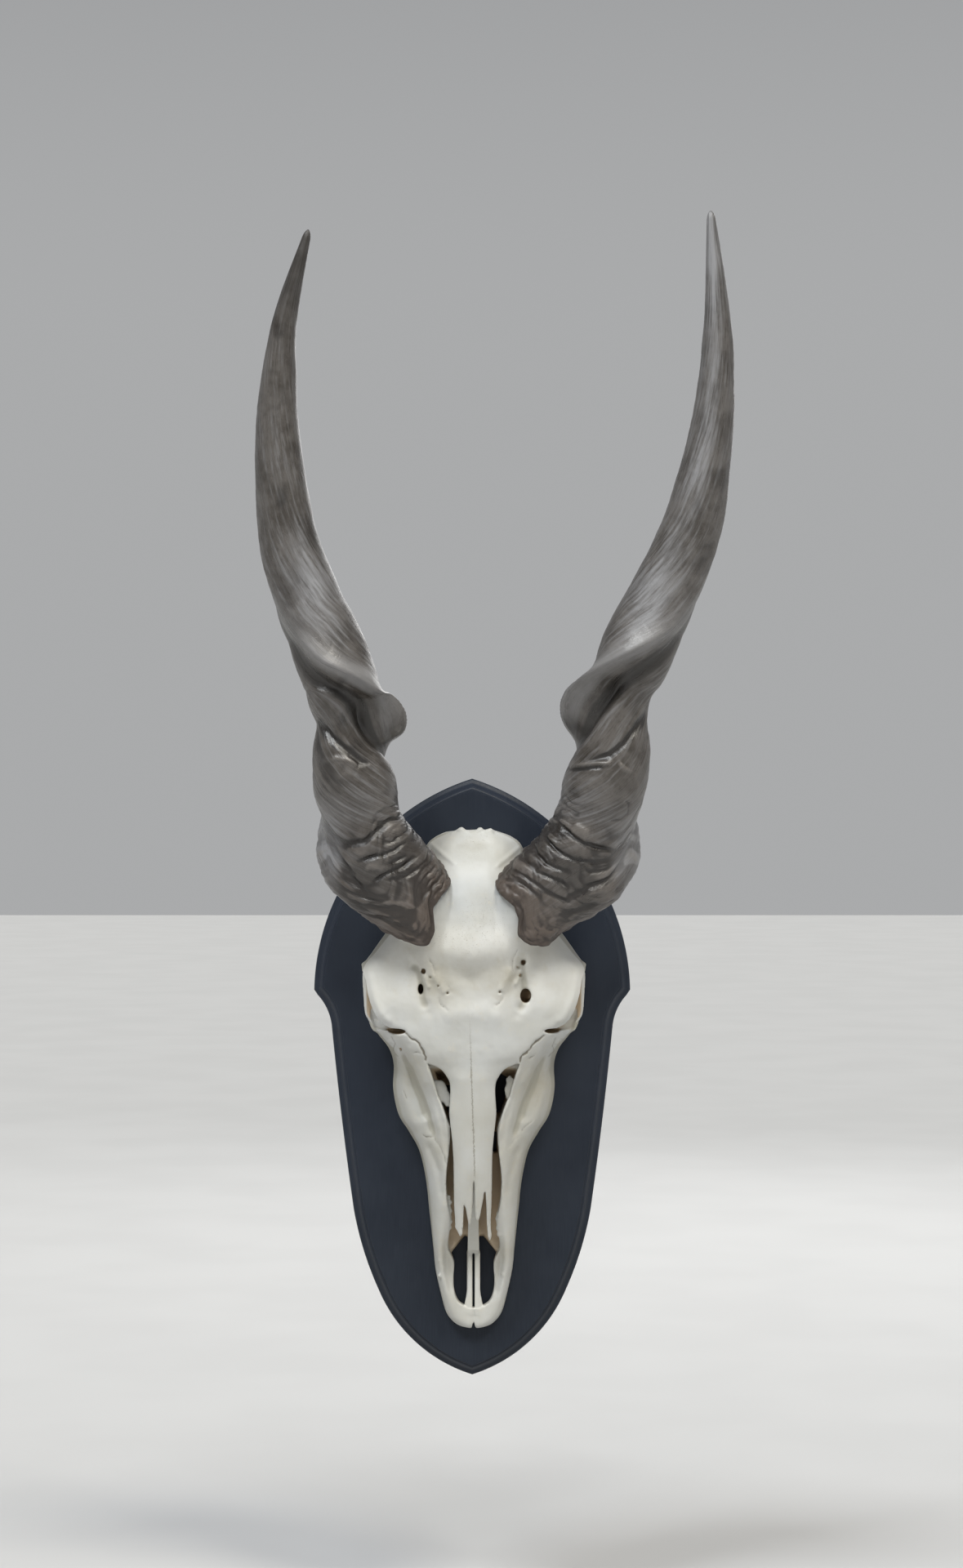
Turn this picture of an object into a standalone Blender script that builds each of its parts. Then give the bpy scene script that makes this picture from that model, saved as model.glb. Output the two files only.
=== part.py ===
"""Eland skull mount: a sawn skull with its two spiral horns, screwed to a shield-shaped board that hangs on a wall.

Row frame, in metres: +Z is up, +X is to the viewer's right and the viewer looks along +Y. The origin is on the
board's back face, on its centre line and half way up. The dimensions below are in millimetres. A height is
measured forwards from the board's front face, so a height of 90 is a point 90 mm nearer to the viewer.
"""

import math

import bmesh
import bpy
import numpy as np
from mathutils import Vector

MM = 0.001
GAP = 0.3

# The board's half outline runs from the top point down the right-hand side, as corners joined by arcs.
BOARD_THICKNESS = 20.0
BOARD_TOP = (0.0, 253.0)
BOARD_SHOULDER = (134.0, 74.0)
BOARD_NIB = (131.0, 69.5)
BOARD_WAIST = (119.0, 42.0)
BOARD_HIP = (100.5, -112.0)
BOARD_CHEEK = (80.0, -179.0)
BOARD_FOOT = (0.0, -252.5)
TOP_SAGITTA = 36.0
COVE_SAGITTA = -2.5
FLANK_SAGITTA = 0.85
CHEEK_SAGITTA = 2.2
FOOT_SAGITTA = 12.2
# Moulding: each step is an inset from the edge and the thickness that the board has reached there.
EDGE_HEIGHT = 10.0
MOULDING = ((1.6, 11.6), (3.8, 12.6), (6.2, 15.0), (8.0, 18.6), (8.6, 18.6), (9.2, 20.0))

# The skull stands a little to the right of the board's centre line.
SKULL_X = 1.5
# Skull ribs, from the front of the jaw up to the back of the head. Each is: z, half width at the widest place,
# height of that place, half width and height of the shoulder, height on the centre line.
RIBS = (
    (-210, 9, 4, 5, 7, 8),
    (-206, 17, 5, 10, 10, 11),
    (-197, 24, 6, 16, 13, 12),
    (-181, 28.5, 8, 22, 16, 16),
    (-160, 33, 9, 25, 22, 22),
    (-140, 35, 10, 26, 28, 28),
    (-112, 38, 11, 27, 34, 36),
    (-84, 41, 13, 27, 42, 44),
    (-60, 46.5, 14, 27, 48, 50),
    (-44, 55, 15, 28, 52, 55),
    (-29, 64, 15, 31, 55, 60),
    (-8, 68.4, 16, 35, 59, 68),
    (13, 68, 18, 40, 65, 75),
    (27, 72, 22, 48, 69, 78),
    (40, 81.5, 26, 60, 71, 80),
    (54, 89, 29, 72, 72, 82),
    (68, 91.3, 31, 79, 72, 85),
    (84, 92, 34, 83, 71, 88),
    (97, 92.4, 42, 84, 68, 93),
    (110, 84, 45, 74, 72, 97),
    (124, 74, 44, 60, 78, 99),
    (142, 60, 40, 46, 80, 98),
    (162, 50, 34, 36, 75, 88),
    (182, 45, 30, 32, 62, 74),
    (199, 39, 30, 31, 50, 58),
    (209, 25, 32, 18, 48, 54),
)
RIB_ROWS = 46
RIB_STEPS = 5

# Slot between the cheek bones, open from front to back: z and half width.
NOSE_SLOT = (
    (-192, 6),
    (-187, 13),
    (-178, 16.5),
    (-156, 17),
    (-142, 22),
    (-112, 20.5),
    (-84, 23),
    (-44, 20.5),
    (-29, 24),
    (-14, 28),
    (2, 31),
    (13, 37),
)
THROUGH = (-5.0, 120.0)

# Nose bones: z, half width, height of the top, thickness. Their free end is split into four prongs.
NOSE_BONES = (
    (-129, 15, 46, 3.5),
    (-110, 15.5, 50, 4),
    (-70, 16, 59, 5),
    (-22, 18.8, 69, 6),
    (0, 19.5, 74, 8),
    (9, 27, 76, 12),
    (16, 38, 76, 20),
    (24, 40, 76, 26),
)
NOSE_BONE_DROP = 7.0
PRONGS = (
    (-20, -94),
    (-14, -112),
    (-10, -121),
    (-7, -100),
    (-2.2, -115),
    (-0.8, -108),
    (0, -72),
    (0.8, -108),
    (6, -114),
    (9.5, -89),
    (14, -127),
    (20, -98),
)
PRONG_CUT = (25.0, -140.0)

# Blade that stands in the slot under the nose bones: z, half width, lowest and highest point.
BLADE = (
    (-152, 3.6, 7, 15),
    (-142, 4.2, 7, 26),
    (-60, 4.0, 10, 42),
    (18, 5.0, 20, 60),
)
# Pair of bars in front of it: inner and outer side, span along z, lowest and highest point.
BARS_ACROSS = (1.0, 5.4)
BARS_ALONG = (-198.0, -145.0)
BARS_DEEP = (5.0, 11.0)

ORBIT_CENTRE = (100.0, 50.0, 67.0)
ORBIT_RADII = (60.0, 20.0, 28.0)
FORAMEN_CENTRE = (44.0, 72.0)
FORAMEN_RADII = (3.8, 5.6)
FORAMEN_DEEP = (52.0, 120.0)

# Horn stations: distance outwards from the board's centre line, z and height of the horn's own centre line, radius
# of its round body, then the keel's turn (in degrees, from the front towards the outside) and the keel's height.
LEFT_HORN = (
    (30, 130, 66, 31, 20, 8),
    (51, 158, 76, 36, 42, 7),
    (73, 187, 84, 35.5, 72, 14),
    (88, 218, 91, 31.5, 130, 16.5),
    (95, 248, 97, 34, 195, 12),
    (100.5, 275, 101, 29, 235, 14),
    (101.5, 298, 105, 24, 270, 25),
    (105, 318, 109, 27.5, 291, 14),
    (106.5, 332, 111, 29.5, 333, 13),
    (112.5, 350, 113.5, 30.5, 365, 11),
    (120.5, 371, 116.5, 29, 385, 8),
    (132, 396, 120, 27.5, 402, 5),
    (147.5, 455, 127, 22, 440, 3),
    (155, 535, 135, 17, 470, 1),
    (150, 613, 142, 10.5, 490, 0),
    (130, 690, 148, 2.8, 500, 0),
)
RIGHT_HORN = (
    (31, 130, 66, 34, 28, 9),
    (54, 158, 76, 35, 57, 6.5),
    (80, 187, 84, 33, 73, 18.5),
    (98.5, 218, 91, 31, 128, 20),
    (108, 248, 97, 34, 190, 13),
    (114, 275, 101, 31, 225, 11.5),
    (117, 300, 105, 25.5, 255, 23),
    (123, 322, 109, 22, 285, 20),
    (127.5, 338, 111, 27.5, 318, 11.5),
    (133.5, 356, 113.5, 30, 350, 11),
    (143, 377, 116.5, 29, 378, 8),
    (154.5, 400, 120, 28, 400, 4.5),
    (176.5, 457, 127, 23, 440, 2),
    (192.5, 536, 135, 17, 470, 1),
    (196.5, 613, 142, 11.5, 490, 0),
    (190.5, 705, 148, 3, 500, 0),
)
# Rim, where the sheath ends on the brow: turn, and how far along the centre line it is. The low place is a tongue.
LEFT_RIM = ((0, 9), (20, 2), (33, 11), (60, 31), (75, 42), (180, 40), (265, 30), (280, 25), (320, 27), (345, 24))
RIGHT_RIM = ((0, 21), (12, 10), (28, 10), (54, 17), (80, 40), (180, 40), (265, 24), (310, 24), (342, 26))
KEEL_SHARPNESS = 7.0
HORN_RINGS = 44
# Share of the rings' spacing that stays even: the rest opens them out towards the tip.
EVEN_SHARE = 0.6
HORN_SIDES = 24
SEAT_CLEARANCE = 0.5

# Hardware on the back.
SCREW_SIDES = 16
SKULL_SCREWS = (("lower", 88.0), ("upper", 168.0))
SKULL_SCREW_HEAD, SKULL_SCREW_SHANK, SKULL_SCREW_LENGTH = 4.8, 2.4, 50.0
HANGER_Z = 212.0
HANGER_LENGTH, HANGER_WIDTH, HANGER_THICKNESS = 54.0, 18.0, 1.6
KEYHOLE_RADIUS, KEYHOLE_SLOT_RADIUS, KEYHOLE_RISE = 5.2, 2.75, 11.0
POCKET_HALF_WIDTH, POCKET_HALF_HEIGHT, POCKET_DEPTH = 7.0, 12.0, 11.0
PLATE_SCREWS = (("lower", -21.0), ("upper", 21.0))
PLATE_SCREW_HEAD, PLATE_SCREW_SHANK, PLATE_SCREW_LENGTH = 3.4, 1.5, 12.0
SUNK = 0.2
PAST = 10.0


def material(name, colour, roughness, metallic=0.0):
    """A Principled BSDF in the piece's own colour."""
    made = bpy.data.materials.new(name)
    made.use_nodes = True
    shader = made.node_tree.nodes["Principled BSDF"]
    shader.inputs["Base Color"].default_value = (*colour, 1.0)
    shader.inputs["Roughness"].default_value = roughness
    shader.inputs["Metallic"].default_value = metallic
    return made


def at(x, depth, z):
    """Row-frame point in metres, for a depth in millimetres measured forwards from the wall."""
    return Vector((x * MM, -depth * MM, z * MM))


def raised(x, height, z):
    """Row-frame point of a place on the skull or a horn, for a height above the board's front face."""
    return at(x, BOARD_THICKNESS + GAP + height, z)


def solid(name, bm, finish=None):
    """Makes an object of a bmesh, with its faces pointing out, and frees the bmesh."""
    bmesh.ops.recalc_face_normals(bm, faces=bm.faces)
    mesh = bpy.data.meshes.new(name)
    bm.to_mesh(mesh)
    bm.free()
    made = bpy.data.objects.new(name, mesh)
    bpy.context.scene.collection.objects.link(made)
    if finish:
        mesh.materials.append(finish)
        mesh.shade_smooth()
        mesh.set_sharp_from_angle(angle=math.radians(40))
    return made


def boolean(target, tool, operation="DIFFERENCE"):
    """Cuts the tool from the target, or joins it on, and keeps the tool as a hidden guide."""
    step = target.modifiers.new(tool.name, "BOOLEAN")
    step.object = tool
    step.operation = operation
    step.solver = "EXACT"
    tool.hide_render = True
    tool.display_type = "WIRE"


def loft(rings, fanned=False):
    """A closed bmesh through rings of points, each ring with the same count, capped at both ends.

    A fanned cap meets in a point at the ring's middle, which suits a ring that isn't flat.
    """
    bm = bmesh.new()
    loops = [[bm.verts.new(point) for point in ring] for ring in rings]
    count = len(loops[0])
    for lower, upper in zip(loops, loops[1:]):
        for i in range(count):
            j = (i + 1) % count
            bm.faces.new((lower[i], lower[j], upper[j], upper[i]))
    for loop in (loops[0], loops[-1]):
        if not fanned:
            bm.faces.new(loop)
            continue
        middle = bm.verts.new(sum((vert.co for vert in loop), Vector()) / count)
        for i in range(count):
            bm.faces.new((loop[i], loop[(i + 1) % count], middle))
    return bm


def slab(outline, near, far):
    """A closed bmesh: an outline of (x, z) run between two depths from the wall."""
    return loft([[at(x, depth, z) for x, z in outline] for depth in (near, far)])


def skull_slab(outline, low, high):
    """A slab for the skull, between two heights above the board's front."""
    shifted = [(SKULL_X + x, z) for x, z in outline]
    base = BOARD_THICKNESS + GAP
    return slab(shifted, base + low, base + high)


def circle(radius, sides):
    turns = [2 * math.pi * i / sides for i in range(sides)]
    return [(radius * math.cos(turn), radius * math.sin(turn)) for turn in turns]


def turned(profile, x, z, sides=SCREW_SIDES):
    """A closed bmesh turned about an axis along Y: the profile gives depths from the wall and radii."""
    rings = [[at(x + u, depth, z + v) for u, v in circle(radius, sides)] for depth, radius in profile]
    return loft(rings)


def box_outline(x0, x1, z0, z1):
    return [(x0, z0), (x1, z0), (x1, z1), (x0, z1)]


def arc(start, end, sagitta, steps):
    """Points from start up to, but not including, end on an arc that bulges to the left by the sagitta."""
    (x0, z0), (x1, z1) = start, end
    chord = math.hypot(x1 - x0, z1 - z0)
    radius = (chord * chord / 4 + sagitta * sagitta) / (2 * sagitta)
    lean = (sagitta - radius) / chord
    centre_x = (x0 + x1) / 2 - (z1 - z0) * lean
    centre_z = (z0 + z1) / 2 + (x1 - x0) * lean
    first = math.atan2(z0 - centre_z, x0 - centre_x)
    sweep = math.atan2(z1 - centre_z, x1 - centre_x) - first
    sweep = (sweep + math.pi) % (2 * math.pi) - math.pi
    turns = [first + sweep * i / steps for i in range(steps)]
    return [(centre_x + abs(radius) * math.cos(t), centre_z + abs(radius) * math.sin(t)) for t in turns]


def board_outline():
    """The shield: two arcs meet in a point at the top, a nib juts at each shoulder, and the foot is pointed."""
    half = arc(BOARD_TOP, BOARD_SHOULDER, TOP_SAGITTA, 11)
    half += [BOARD_SHOULDER]
    half += arc(BOARD_NIB, BOARD_WAIST, COVE_SAGITTA, 4)
    half += arc(BOARD_WAIST, BOARD_HIP, FLANK_SAGITTA, 3)
    half += arc(BOARD_HIP, BOARD_CHEEK, CHEEK_SAGITTA, 4)
    half += arc(BOARD_CHEEK, BOARD_FOOT, FOOT_SAGITTA, 6)
    half += [BOARD_FOOT]
    return half + [(-x, z) for x, z in reversed(half[1:-1])]


def moulded_board():
    """The extruded shield, whose front face is stepped in by insets to make the moulding."""
    bm = slab(board_outline(), 0, EDGE_HEIGHT)
    bmesh.ops.recalc_face_normals(bm, faces=bm.faces)
    front = min(bm.faces, key=lambda face: face.calc_center_median().y)
    inset, thickness = 0.0, EDGE_HEIGHT
    for next_inset, next_thickness in MOULDING:
        bmesh.ops.inset_region(bm, faces=[front], thickness=(next_inset - inset) * MM, use_even_offset=True)
        bmesh.ops.translate(bm, vec=(0, -(next_thickness - thickness) * MM, 0), verts=front.verts)
        inset, thickness = next_inset, next_thickness
    return bm


def rounded_bar(length, width):
    """Outline of the hanger plate: an upright bar with half-round ends."""
    reach, radius = (length - width) / 2, width / 2
    steps = 8
    turns = [math.pi * i / steps for i in range(steps + 1)]
    end = [(radius * math.cos(t), reach + radius * math.sin(t)) for t in turns]
    outline = end + [(-x, -z) for x, z in end]
    return [(x, HANGER_Z + z) for x, z in outline]


def keyhole_outline():
    """A round hole for the head of the wall screw, with a narrower slot above it."""
    low = HANGER_Z - KEYHOLE_RISE / 2
    neck = math.asin(KEYHOLE_SLOT_RADIUS / KEYHOLE_RADIUS)
    steps = 14
    turns = [math.pi / 2 + neck + (2 * math.pi - 2 * neck) * i / steps for i in range(steps + 1)]
    hole = [(KEYHOLE_RADIUS * math.cos(t), low + KEYHOLE_RADIUS * math.sin(t)) for t in turns]
    top = [math.pi * i / 6 for i in range(7)]
    slot = [
        (KEYHOLE_SLOT_RADIUS * math.cos(t), low + KEYHOLE_RISE + KEYHOLE_SLOT_RADIUS * math.sin(t)) for t in top
    ]
    return hole + slot


def drill_for_screw(target, label, x, z, head, shank, length):
    """Drills the clearance hole and the countersink for a screw that is driven in from the back."""
    wide, narrow = head + GAP, shank + GAP
    bore = turned(((-PAST, narrow), (length + 1, narrow)), x, z)
    boolean(target, solid(f"{label}_bore", bore))
    sink = turned(((-1, wide + 1), (wide - narrow, narrow)), x, z)
    boolean(target, solid(f"{label}_sink", sink))


def screw(name, x, z, head, shank, length, finish):
    """A countersunk screw, its flat head just under the back face and its point towards the viewer."""
    profile = ((SUNK, head), (SUNK + head - shank, shank), (length - 2 * shank, shank), (length, shank * 0.2))
    made = solid(name, turned(profile, x, z), finish)
    reach, half, deep = head * 0.5, head * 0.1, head * 0.5
    for i, (u, v) in enumerate(((reach, half), (half, reach))):
        arm = slab(box_outline(x - u, x + u, z - v, z + v), -PAST, deep)
        boolean(made, solid(f"{name}_recess_{i}", arm))


def backboard():
    """The board, with its holes for the skull's screws and the seat and pocket of the hanger."""
    board = solid("backboard", moulded_board(), material("painted_wood", (0.035, 0.042, 0.055), 0.5))
    for label, z in SKULL_SCREWS:
        sizes = (SKULL_SCREW_HEAD, SKULL_SCREW_SHANK, SKULL_SCREW_LENGTH)
        drill_for_screw(board, f"board_{label}", SKULL_X, z, *sizes)
    seat = slab(rounded_bar(HANGER_LENGTH + 2 * GAP, HANGER_WIDTH + 2 * GAP), -PAST, HANGER_THICKNESS + GAP)
    boolean(board, solid("hanger_seat", seat))
    half, rise = POCKET_HALF_WIDTH, POCKET_HALF_HEIGHT
    pocket = slab(box_outline(-half, half, HANGER_Z - rise, HANGER_Z + rise), HANGER_THICKNESS, POCKET_DEPTH)
    boolean(board, solid("hanger_pocket", pocket))
    for label, rise in PLATE_SCREWS:
        radius = PLATE_SCREW_SHANK + GAP
        pilot = turned(((-PAST, radius), (PLATE_SCREW_LENGTH + 1, radius)), 0, HANGER_Z + rise)
        boolean(board, solid(f"pilot_{label}", pilot))


def hanger_plate():
    """Steel keyhole hanger, flush in the back of the board."""
    outline = rounded_bar(HANGER_LENGTH, HANGER_WIDTH)
    finish = material("zinc_plated_steel", (0.55, 0.55, 0.53), 0.35, 1.0)
    plate = solid("hanger_plate", slab(outline, 0, HANGER_THICKNESS), finish)
    boolean(plate, solid("keyhole", slab(keyhole_outline(), -PAST, PAST)))
    for label, rise in PLATE_SCREWS:
        sizes = (PLATE_SCREW_HEAD, PLATE_SCREW_SHANK, PLATE_SCREW_LENGTH)
        drill_for_screw(plate, f"plate_{label}", 0, HANGER_Z + rise, *sizes)


def smooth_through(stations, count):
    """Rows read from a smooth curve through the stations (Catmull-Rom), evenly spaced from station to station."""
    rows = np.array(stations, float)
    padded = np.vstack((2 * rows[0] - rows[1], rows, 2 * rows[-1] - rows[-2]))
    place = np.linspace(0, len(rows) - 1, count)
    index = np.minimum(place.astype(int), len(rows) - 2)
    t = (place - index)[:, None]
    a, b, c, d = (padded[index + k] for k in range(4))
    return 0.5 * (2 * b + (c - a) * t + (2 * a - 5 * b + 4 * c - d) * t**2 + (3 * b - a - 3 * c + d) * t**3)


def rib(z, half_width, wide_height, shoulder, shoulder_height, top):
    """One cross-section of the skull: flat behind, where it was sawn, and arched over the front."""
    corners = ((half_width, wide_height), (shoulder, shoulder_height), (0, top), (-shoulder, shoulder_height))
    arch = [tuple(point) for point in smooth_through(corners, 3 * RIB_STEPS + 1)[: 2 * RIB_STEPS + 1]]
    half = [(half_width * 0.97, 0.0)] + arch
    whole = half + [(-x, height) for x, height in reversed(half[:-1])]
    return [raised(SKULL_X + x, height, z) for x, height in whole]


def nose_bones():
    """The roof of the nose: a tapering arch that springs from the brow and ends free in four prongs."""
    rings = []
    for z, half_width, top, thickness in NOSE_BONES:
        eaves = top - NOSE_BONE_DROP
        arch = [(half_width, eaves), (half_width * 0.6, top - 2), (0, top)]
        over = arch + [(-x, height) for x, height in reversed(arch[:-1])]
        under = [(-half_width * 0.9, eaves - thickness), (half_width * 0.9, eaves - thickness)]
        rings.append([raised(SKULL_X + x, height, z) for x, height in over + under])
    bones = solid("nose_bones", loft(rings))
    side, foot = PRONG_CUT
    below = list(PRONGS) + [(side, PRONGS[-1][1]), (side, foot), (-side, foot), (-side, PRONGS[0][1])]
    boolean(bones, solid("prong_cut", skull_slab(below, *THROUGH)))
    return bones


def blade():
    """The thin upright plate in the middle of the nose."""
    rings = []
    for z, half, low, high in BLADE:
        corners = ((half, low), (half, high), (-half, high), (-half, low))
        rings.append([raised(SKULL_X + x, height, z) for x, height in corners])
    return solid("blade", loft(rings))


def ellipsoid(name, centre, radii):
    """A closed ellipsoid, with its centre and radii given across, forwards and up."""
    bm = bmesh.new()
    bmesh.ops.create_uvsphere(bm, u_segments=16, v_segments=10, radius=1)
    bmesh.ops.scale(bm, vec=tuple(radius * MM for radius in radii), verts=bm.verts)
    bmesh.ops.translate(bm, vec=raised(*centre), verts=bm.verts)
    return solid(name, bm)


def skull():
    """The bone, sawn flat behind: a lofted head, opened at the nose and the eyes, with its thin bones added."""
    finish = material("bleached_bone", (0.78, 0.75, 0.68), 0.6)
    ribs = [rib(*row) for row in smooth_through(RIBS, RIB_ROWS)]
    head = solid("skull", loft(ribs), finish)
    slot = [(half, z) for z, half in NOSE_SLOT] + [(-half, z) for z, half in reversed(NOSE_SLOT)]
    boolean(head, solid("nose_slot", skull_slab(slot, *THROUGH)))
    for label, side in (("left", -1), ("right", 1)):
        x, height, z = ORBIT_CENTRE
        boolean(head, ellipsoid(f"orbit_{label}", (SKULL_X + side * x, height, z), ORBIT_RADII))
        x, z = FORAMEN_CENTRE
        wide, tall = FORAMEN_RADII
        hole = [(side * x + wide * u, z + tall * v) for u, v in circle(1.0, 10)]
        boolean(head, solid(f"foramen_{label}", skull_slab(hole, *FORAMEN_DEEP)))
    boolean(head, nose_bones(), "UNION")
    boolean(head, blade(), "UNION")
    inner, outer = BARS_ACROSS
    for label, sides in (("left", (-outer, -inner)), ("right", (inner, outer))):
        boolean(head, solid(f"bar_{label}", skull_slab(box_outline(*sides, *BARS_ALONG), *BARS_DEEP)), "UNION")
    radius = SKULL_SCREW_SHANK + GAP
    for label, z in SKULL_SCREWS:
        pilot = turned(((0, radius), (SKULL_SCREW_LENGTH + 1, radius)), SKULL_X, z)
        boolean(head, solid(f"skull_{label}_pilot", pilot))
    return head


def horn_rings(stations, rim, side, grown=0.0):
    """Rings of a horn: a round body on a smooth path, with a keel that winds round it.

    The radius at a turn is the body's, plus the keel's height times a bump that is centred on the keel. The first
    ring is the rim. Side is -1 for the viewer's left and 1 for the right, and grown makes a looser copy.
    """
    fine = smooth_through(stations, 200)
    path = fine[:, (0, 2, 1)]
    along = np.gradient(path, axis=0)
    along /= np.linalg.norm(along, axis=1)[:, None]
    forward = np.array((0.0, 1.0, 0.0)) - along * along[:, 1:2]
    forward /= np.linalg.norm(forward, axis=1)[:, None]
    outward = np.cross(forward, along)
    length = np.concatenate(((0,), np.cumsum(np.linalg.norm(np.diff(path, axis=0), axis=1))))

    turn = np.linspace(0, 2 * np.pi, HORN_SIDES, endpoint=False)
    rim_turn, rim_run = np.array(rim, float).T
    start = np.interp(np.degrees(turn), rim_turn, rim_run, period=360) - grown
    level = np.linspace(0, 1, HORN_RINGS)[:, None]
    run = start + (length[-1] - start) * (EVEN_SHARE * level + (1 - EVEN_SHARE) * level**3)

    def along_horn(values):
        return np.interp(run, length, values)

    bump = np.exp(KEEL_SHARPNESS * (np.cos(turn - np.radians(along_horn(fine[:, 4]))) - 1))
    radius = along_horn(fine[:, 3]) + along_horn(fine[:, 5]) * bump + grown
    x, height, z = (
        along_horn(path[:, i])
        + radius * (np.cos(turn) * along_horn(forward[:, i]) + np.sin(turn) * along_horn(outward[:, i]))
        for i in range(3)
    )
    return [[raised(side * x[k, i], height[k, i], z[k, i]) for i in range(HORN_SIDES)] for k in range(HORN_RINGS)]


def horn(name, stations, rim, side, head):
    """A horn sheath, in a seat that is cut in the brow to its own shape."""
    finish = material(f"{name}_keratin", (0.09, 0.075, 0.062), 0.5)
    solid(name, loft(horn_rings(stations, rim, side), fanned=True), finish)
    seat = loft(horn_rings(stations, rim, side, grown=SEAT_CLEARANCE), fanned=True)
    boolean(head, solid(f"{name}_seat", seat))


def main():
    for obj in list(bpy.data.objects):
        bpy.data.objects.remove(obj)
    backboard()
    hanger_plate()
    head = skull()
    horn("horn_left", LEFT_HORN, LEFT_RIM, -1, head)
    horn("horn_right", RIGHT_HORN, RIGHT_RIM, 1, head)
    steel = material("screw_steel", (0.5, 0.5, 0.48), 0.4, 1.0)
    for label, z in SKULL_SCREWS:
        sizes = (SKULL_SCREW_HEAD, SKULL_SCREW_SHANK, SKULL_SCREW_LENGTH)
        screw(f"skull_screw_{label}", SKULL_X, z, *sizes, steel)
    for label, rise in PLATE_SCREWS:
        sizes = (PLATE_SCREW_HEAD, PLATE_SCREW_SHANK, PLATE_SCREW_LENGTH)
        screw(f"hanger_screw_{label}", 0, HANGER_Z + rise, *sizes, steel)


main()
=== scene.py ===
"""Looks of the eland skull mount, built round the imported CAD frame.

Row frame: +Z is up, +X is to the viewer's right and the viewer looks along +Y. The origin is on the board's
back face. Numbers below are millimetres, and a height is measured forwards from the board's front face.
"""
import math

import bpy
import numpy as np
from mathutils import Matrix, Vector


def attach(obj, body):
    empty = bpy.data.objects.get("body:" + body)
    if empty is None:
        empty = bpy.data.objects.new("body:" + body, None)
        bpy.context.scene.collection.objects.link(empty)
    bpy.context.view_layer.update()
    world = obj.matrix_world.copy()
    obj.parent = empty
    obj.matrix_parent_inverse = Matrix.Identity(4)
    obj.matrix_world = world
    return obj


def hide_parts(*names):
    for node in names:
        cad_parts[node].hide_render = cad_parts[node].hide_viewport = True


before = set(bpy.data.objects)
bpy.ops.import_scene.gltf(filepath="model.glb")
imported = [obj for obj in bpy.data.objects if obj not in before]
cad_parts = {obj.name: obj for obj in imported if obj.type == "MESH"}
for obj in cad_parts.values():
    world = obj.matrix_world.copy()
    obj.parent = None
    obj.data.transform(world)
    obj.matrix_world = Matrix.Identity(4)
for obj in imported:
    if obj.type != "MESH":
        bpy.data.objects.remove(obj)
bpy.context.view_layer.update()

MM = 0.001
BOARD_THICKNESS = 20.0
GAP = 0.3
BASE = BOARD_THICKNESS + GAP

# Camera: its place in the row frame, in metres, and the width of the scene that a pixel spans at the
# board's front.
CAMERA_AT = (0.0079, -2.620, 0.2484)
CAMERA_DISTANCE = 2600.0
PIXEL_MM = 0.69
PHOTO_SIZE = (1179, 1920)
SENSOR_MM = 36.0


# General helpers.

def smooth_through(stations, count):
    """Rows read from a Catmull-Rom curve through the stations, evenly spaced from station to station."""
    rows = np.array(stations, float)
    padded = np.vstack((2 * rows[0] - rows[1], rows, 2 * rows[-1] - rows[-2]))
    place = np.linspace(0, len(rows) - 1, count)
    index = np.minimum(place.astype(int), len(rows) - 2)
    t = (place - index)[:, None]
    a, b, c, d = (padded[index + k] for k in range(4))
    return 0.5 * (2 * b + (c - a) * t + (2 * a - 5 * b + 4 * c - d) * t**2 + (3 * b - a - 3 * c + d) * t**3)


def corner_value(seed, *corners):
    """A repeatable number from 0 to 1 for each corner of a lattice, scrambled from its whole-number place."""
    mixed = np.full(np.broadcast(*corners).shape, seed * 7919 + 17, np.uint32)
    for step, corner in zip((374761393, 668265263, 2246822519), corners):
        mixed = (mixed ^ (corner.astype(np.int64) & 0xFFFFFFFF).astype(np.uint32)) * np.uint32(step)
        mixed ^= mixed >> np.uint32(15)
    mixed *= np.uint32(2654435761)
    mixed ^= mixed >> np.uint32(13)
    return (mixed & np.uint32(0xFFFF)).astype(np.float32) / 65535.0


def noise(seed, *places):
    """Smooth noise from -1 to 1: lattice values blended by 3t^2 - 2t^3 of the place in its cell."""
    places = [np.asarray(place, np.float32) for place in np.broadcast_arrays(*places)]
    lows = [np.floor(place) for place in places]
    blends = [(place - low) ** 2 * (3 - 2 * (place - low)) for place, low in zip(places, lows)]
    total = 0.0
    for corner in np.ndindex(*(2,) * len(places)):
        weight = 1.0
        for bit, blend in zip(corner, blends):
            weight = weight * (blend if bit else 1 - blend)
        total = total + weight * corner_value(seed, *(low + bit for low, bit in zip(lows, corner)))
    return 2 * total - 1


def layered(seed, octaves, *places):
    """Sum of noises, each octave twice as fine and half as strong as the one before."""
    return sum(noise(seed + k, *(place * 2.0**k for place in places)) / 2.0**k for k in range(octaves))


def ease(value, low, high):
    """0 below low, 1 above high, and 3t^2 - 2t^3 between them."""
    t = np.clip((value - low) / (high - low), 0, 1)
    return t * t * (3 - 2 * t)


def hump(distance, width):
    """1 at no distance, falling off as a bell."""
    return np.exp(-((distance / width) ** 2))


def mesh_object(name, points, faces, smooth=True):
    """An object of points in millimetres, given as x, y and z, and lists of corner numbers."""
    mesh = bpy.data.meshes.new(name)
    mesh.from_pydata((np.asarray(points, float) * MM).tolist(), [], faces)
    mesh.update()
    if smooth:
        mesh.shade_smooth()
    made = bpy.data.objects.new(name, mesh)
    bpy.context.scene.collection.objects.link(made)
    return made


def attribute(obj, name, values):
    """A number, or three, for each vertex of a mesh, for its material to read."""
    values = np.asarray(values, np.float32)
    flat = values.ndim == 1
    made = obj.data.attributes.new(name, "FLOAT" if flat else "FLOAT_VECTOR", "POINT")
    made.data.foreach_set("value" if flat else "vector", values.ravel())


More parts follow.
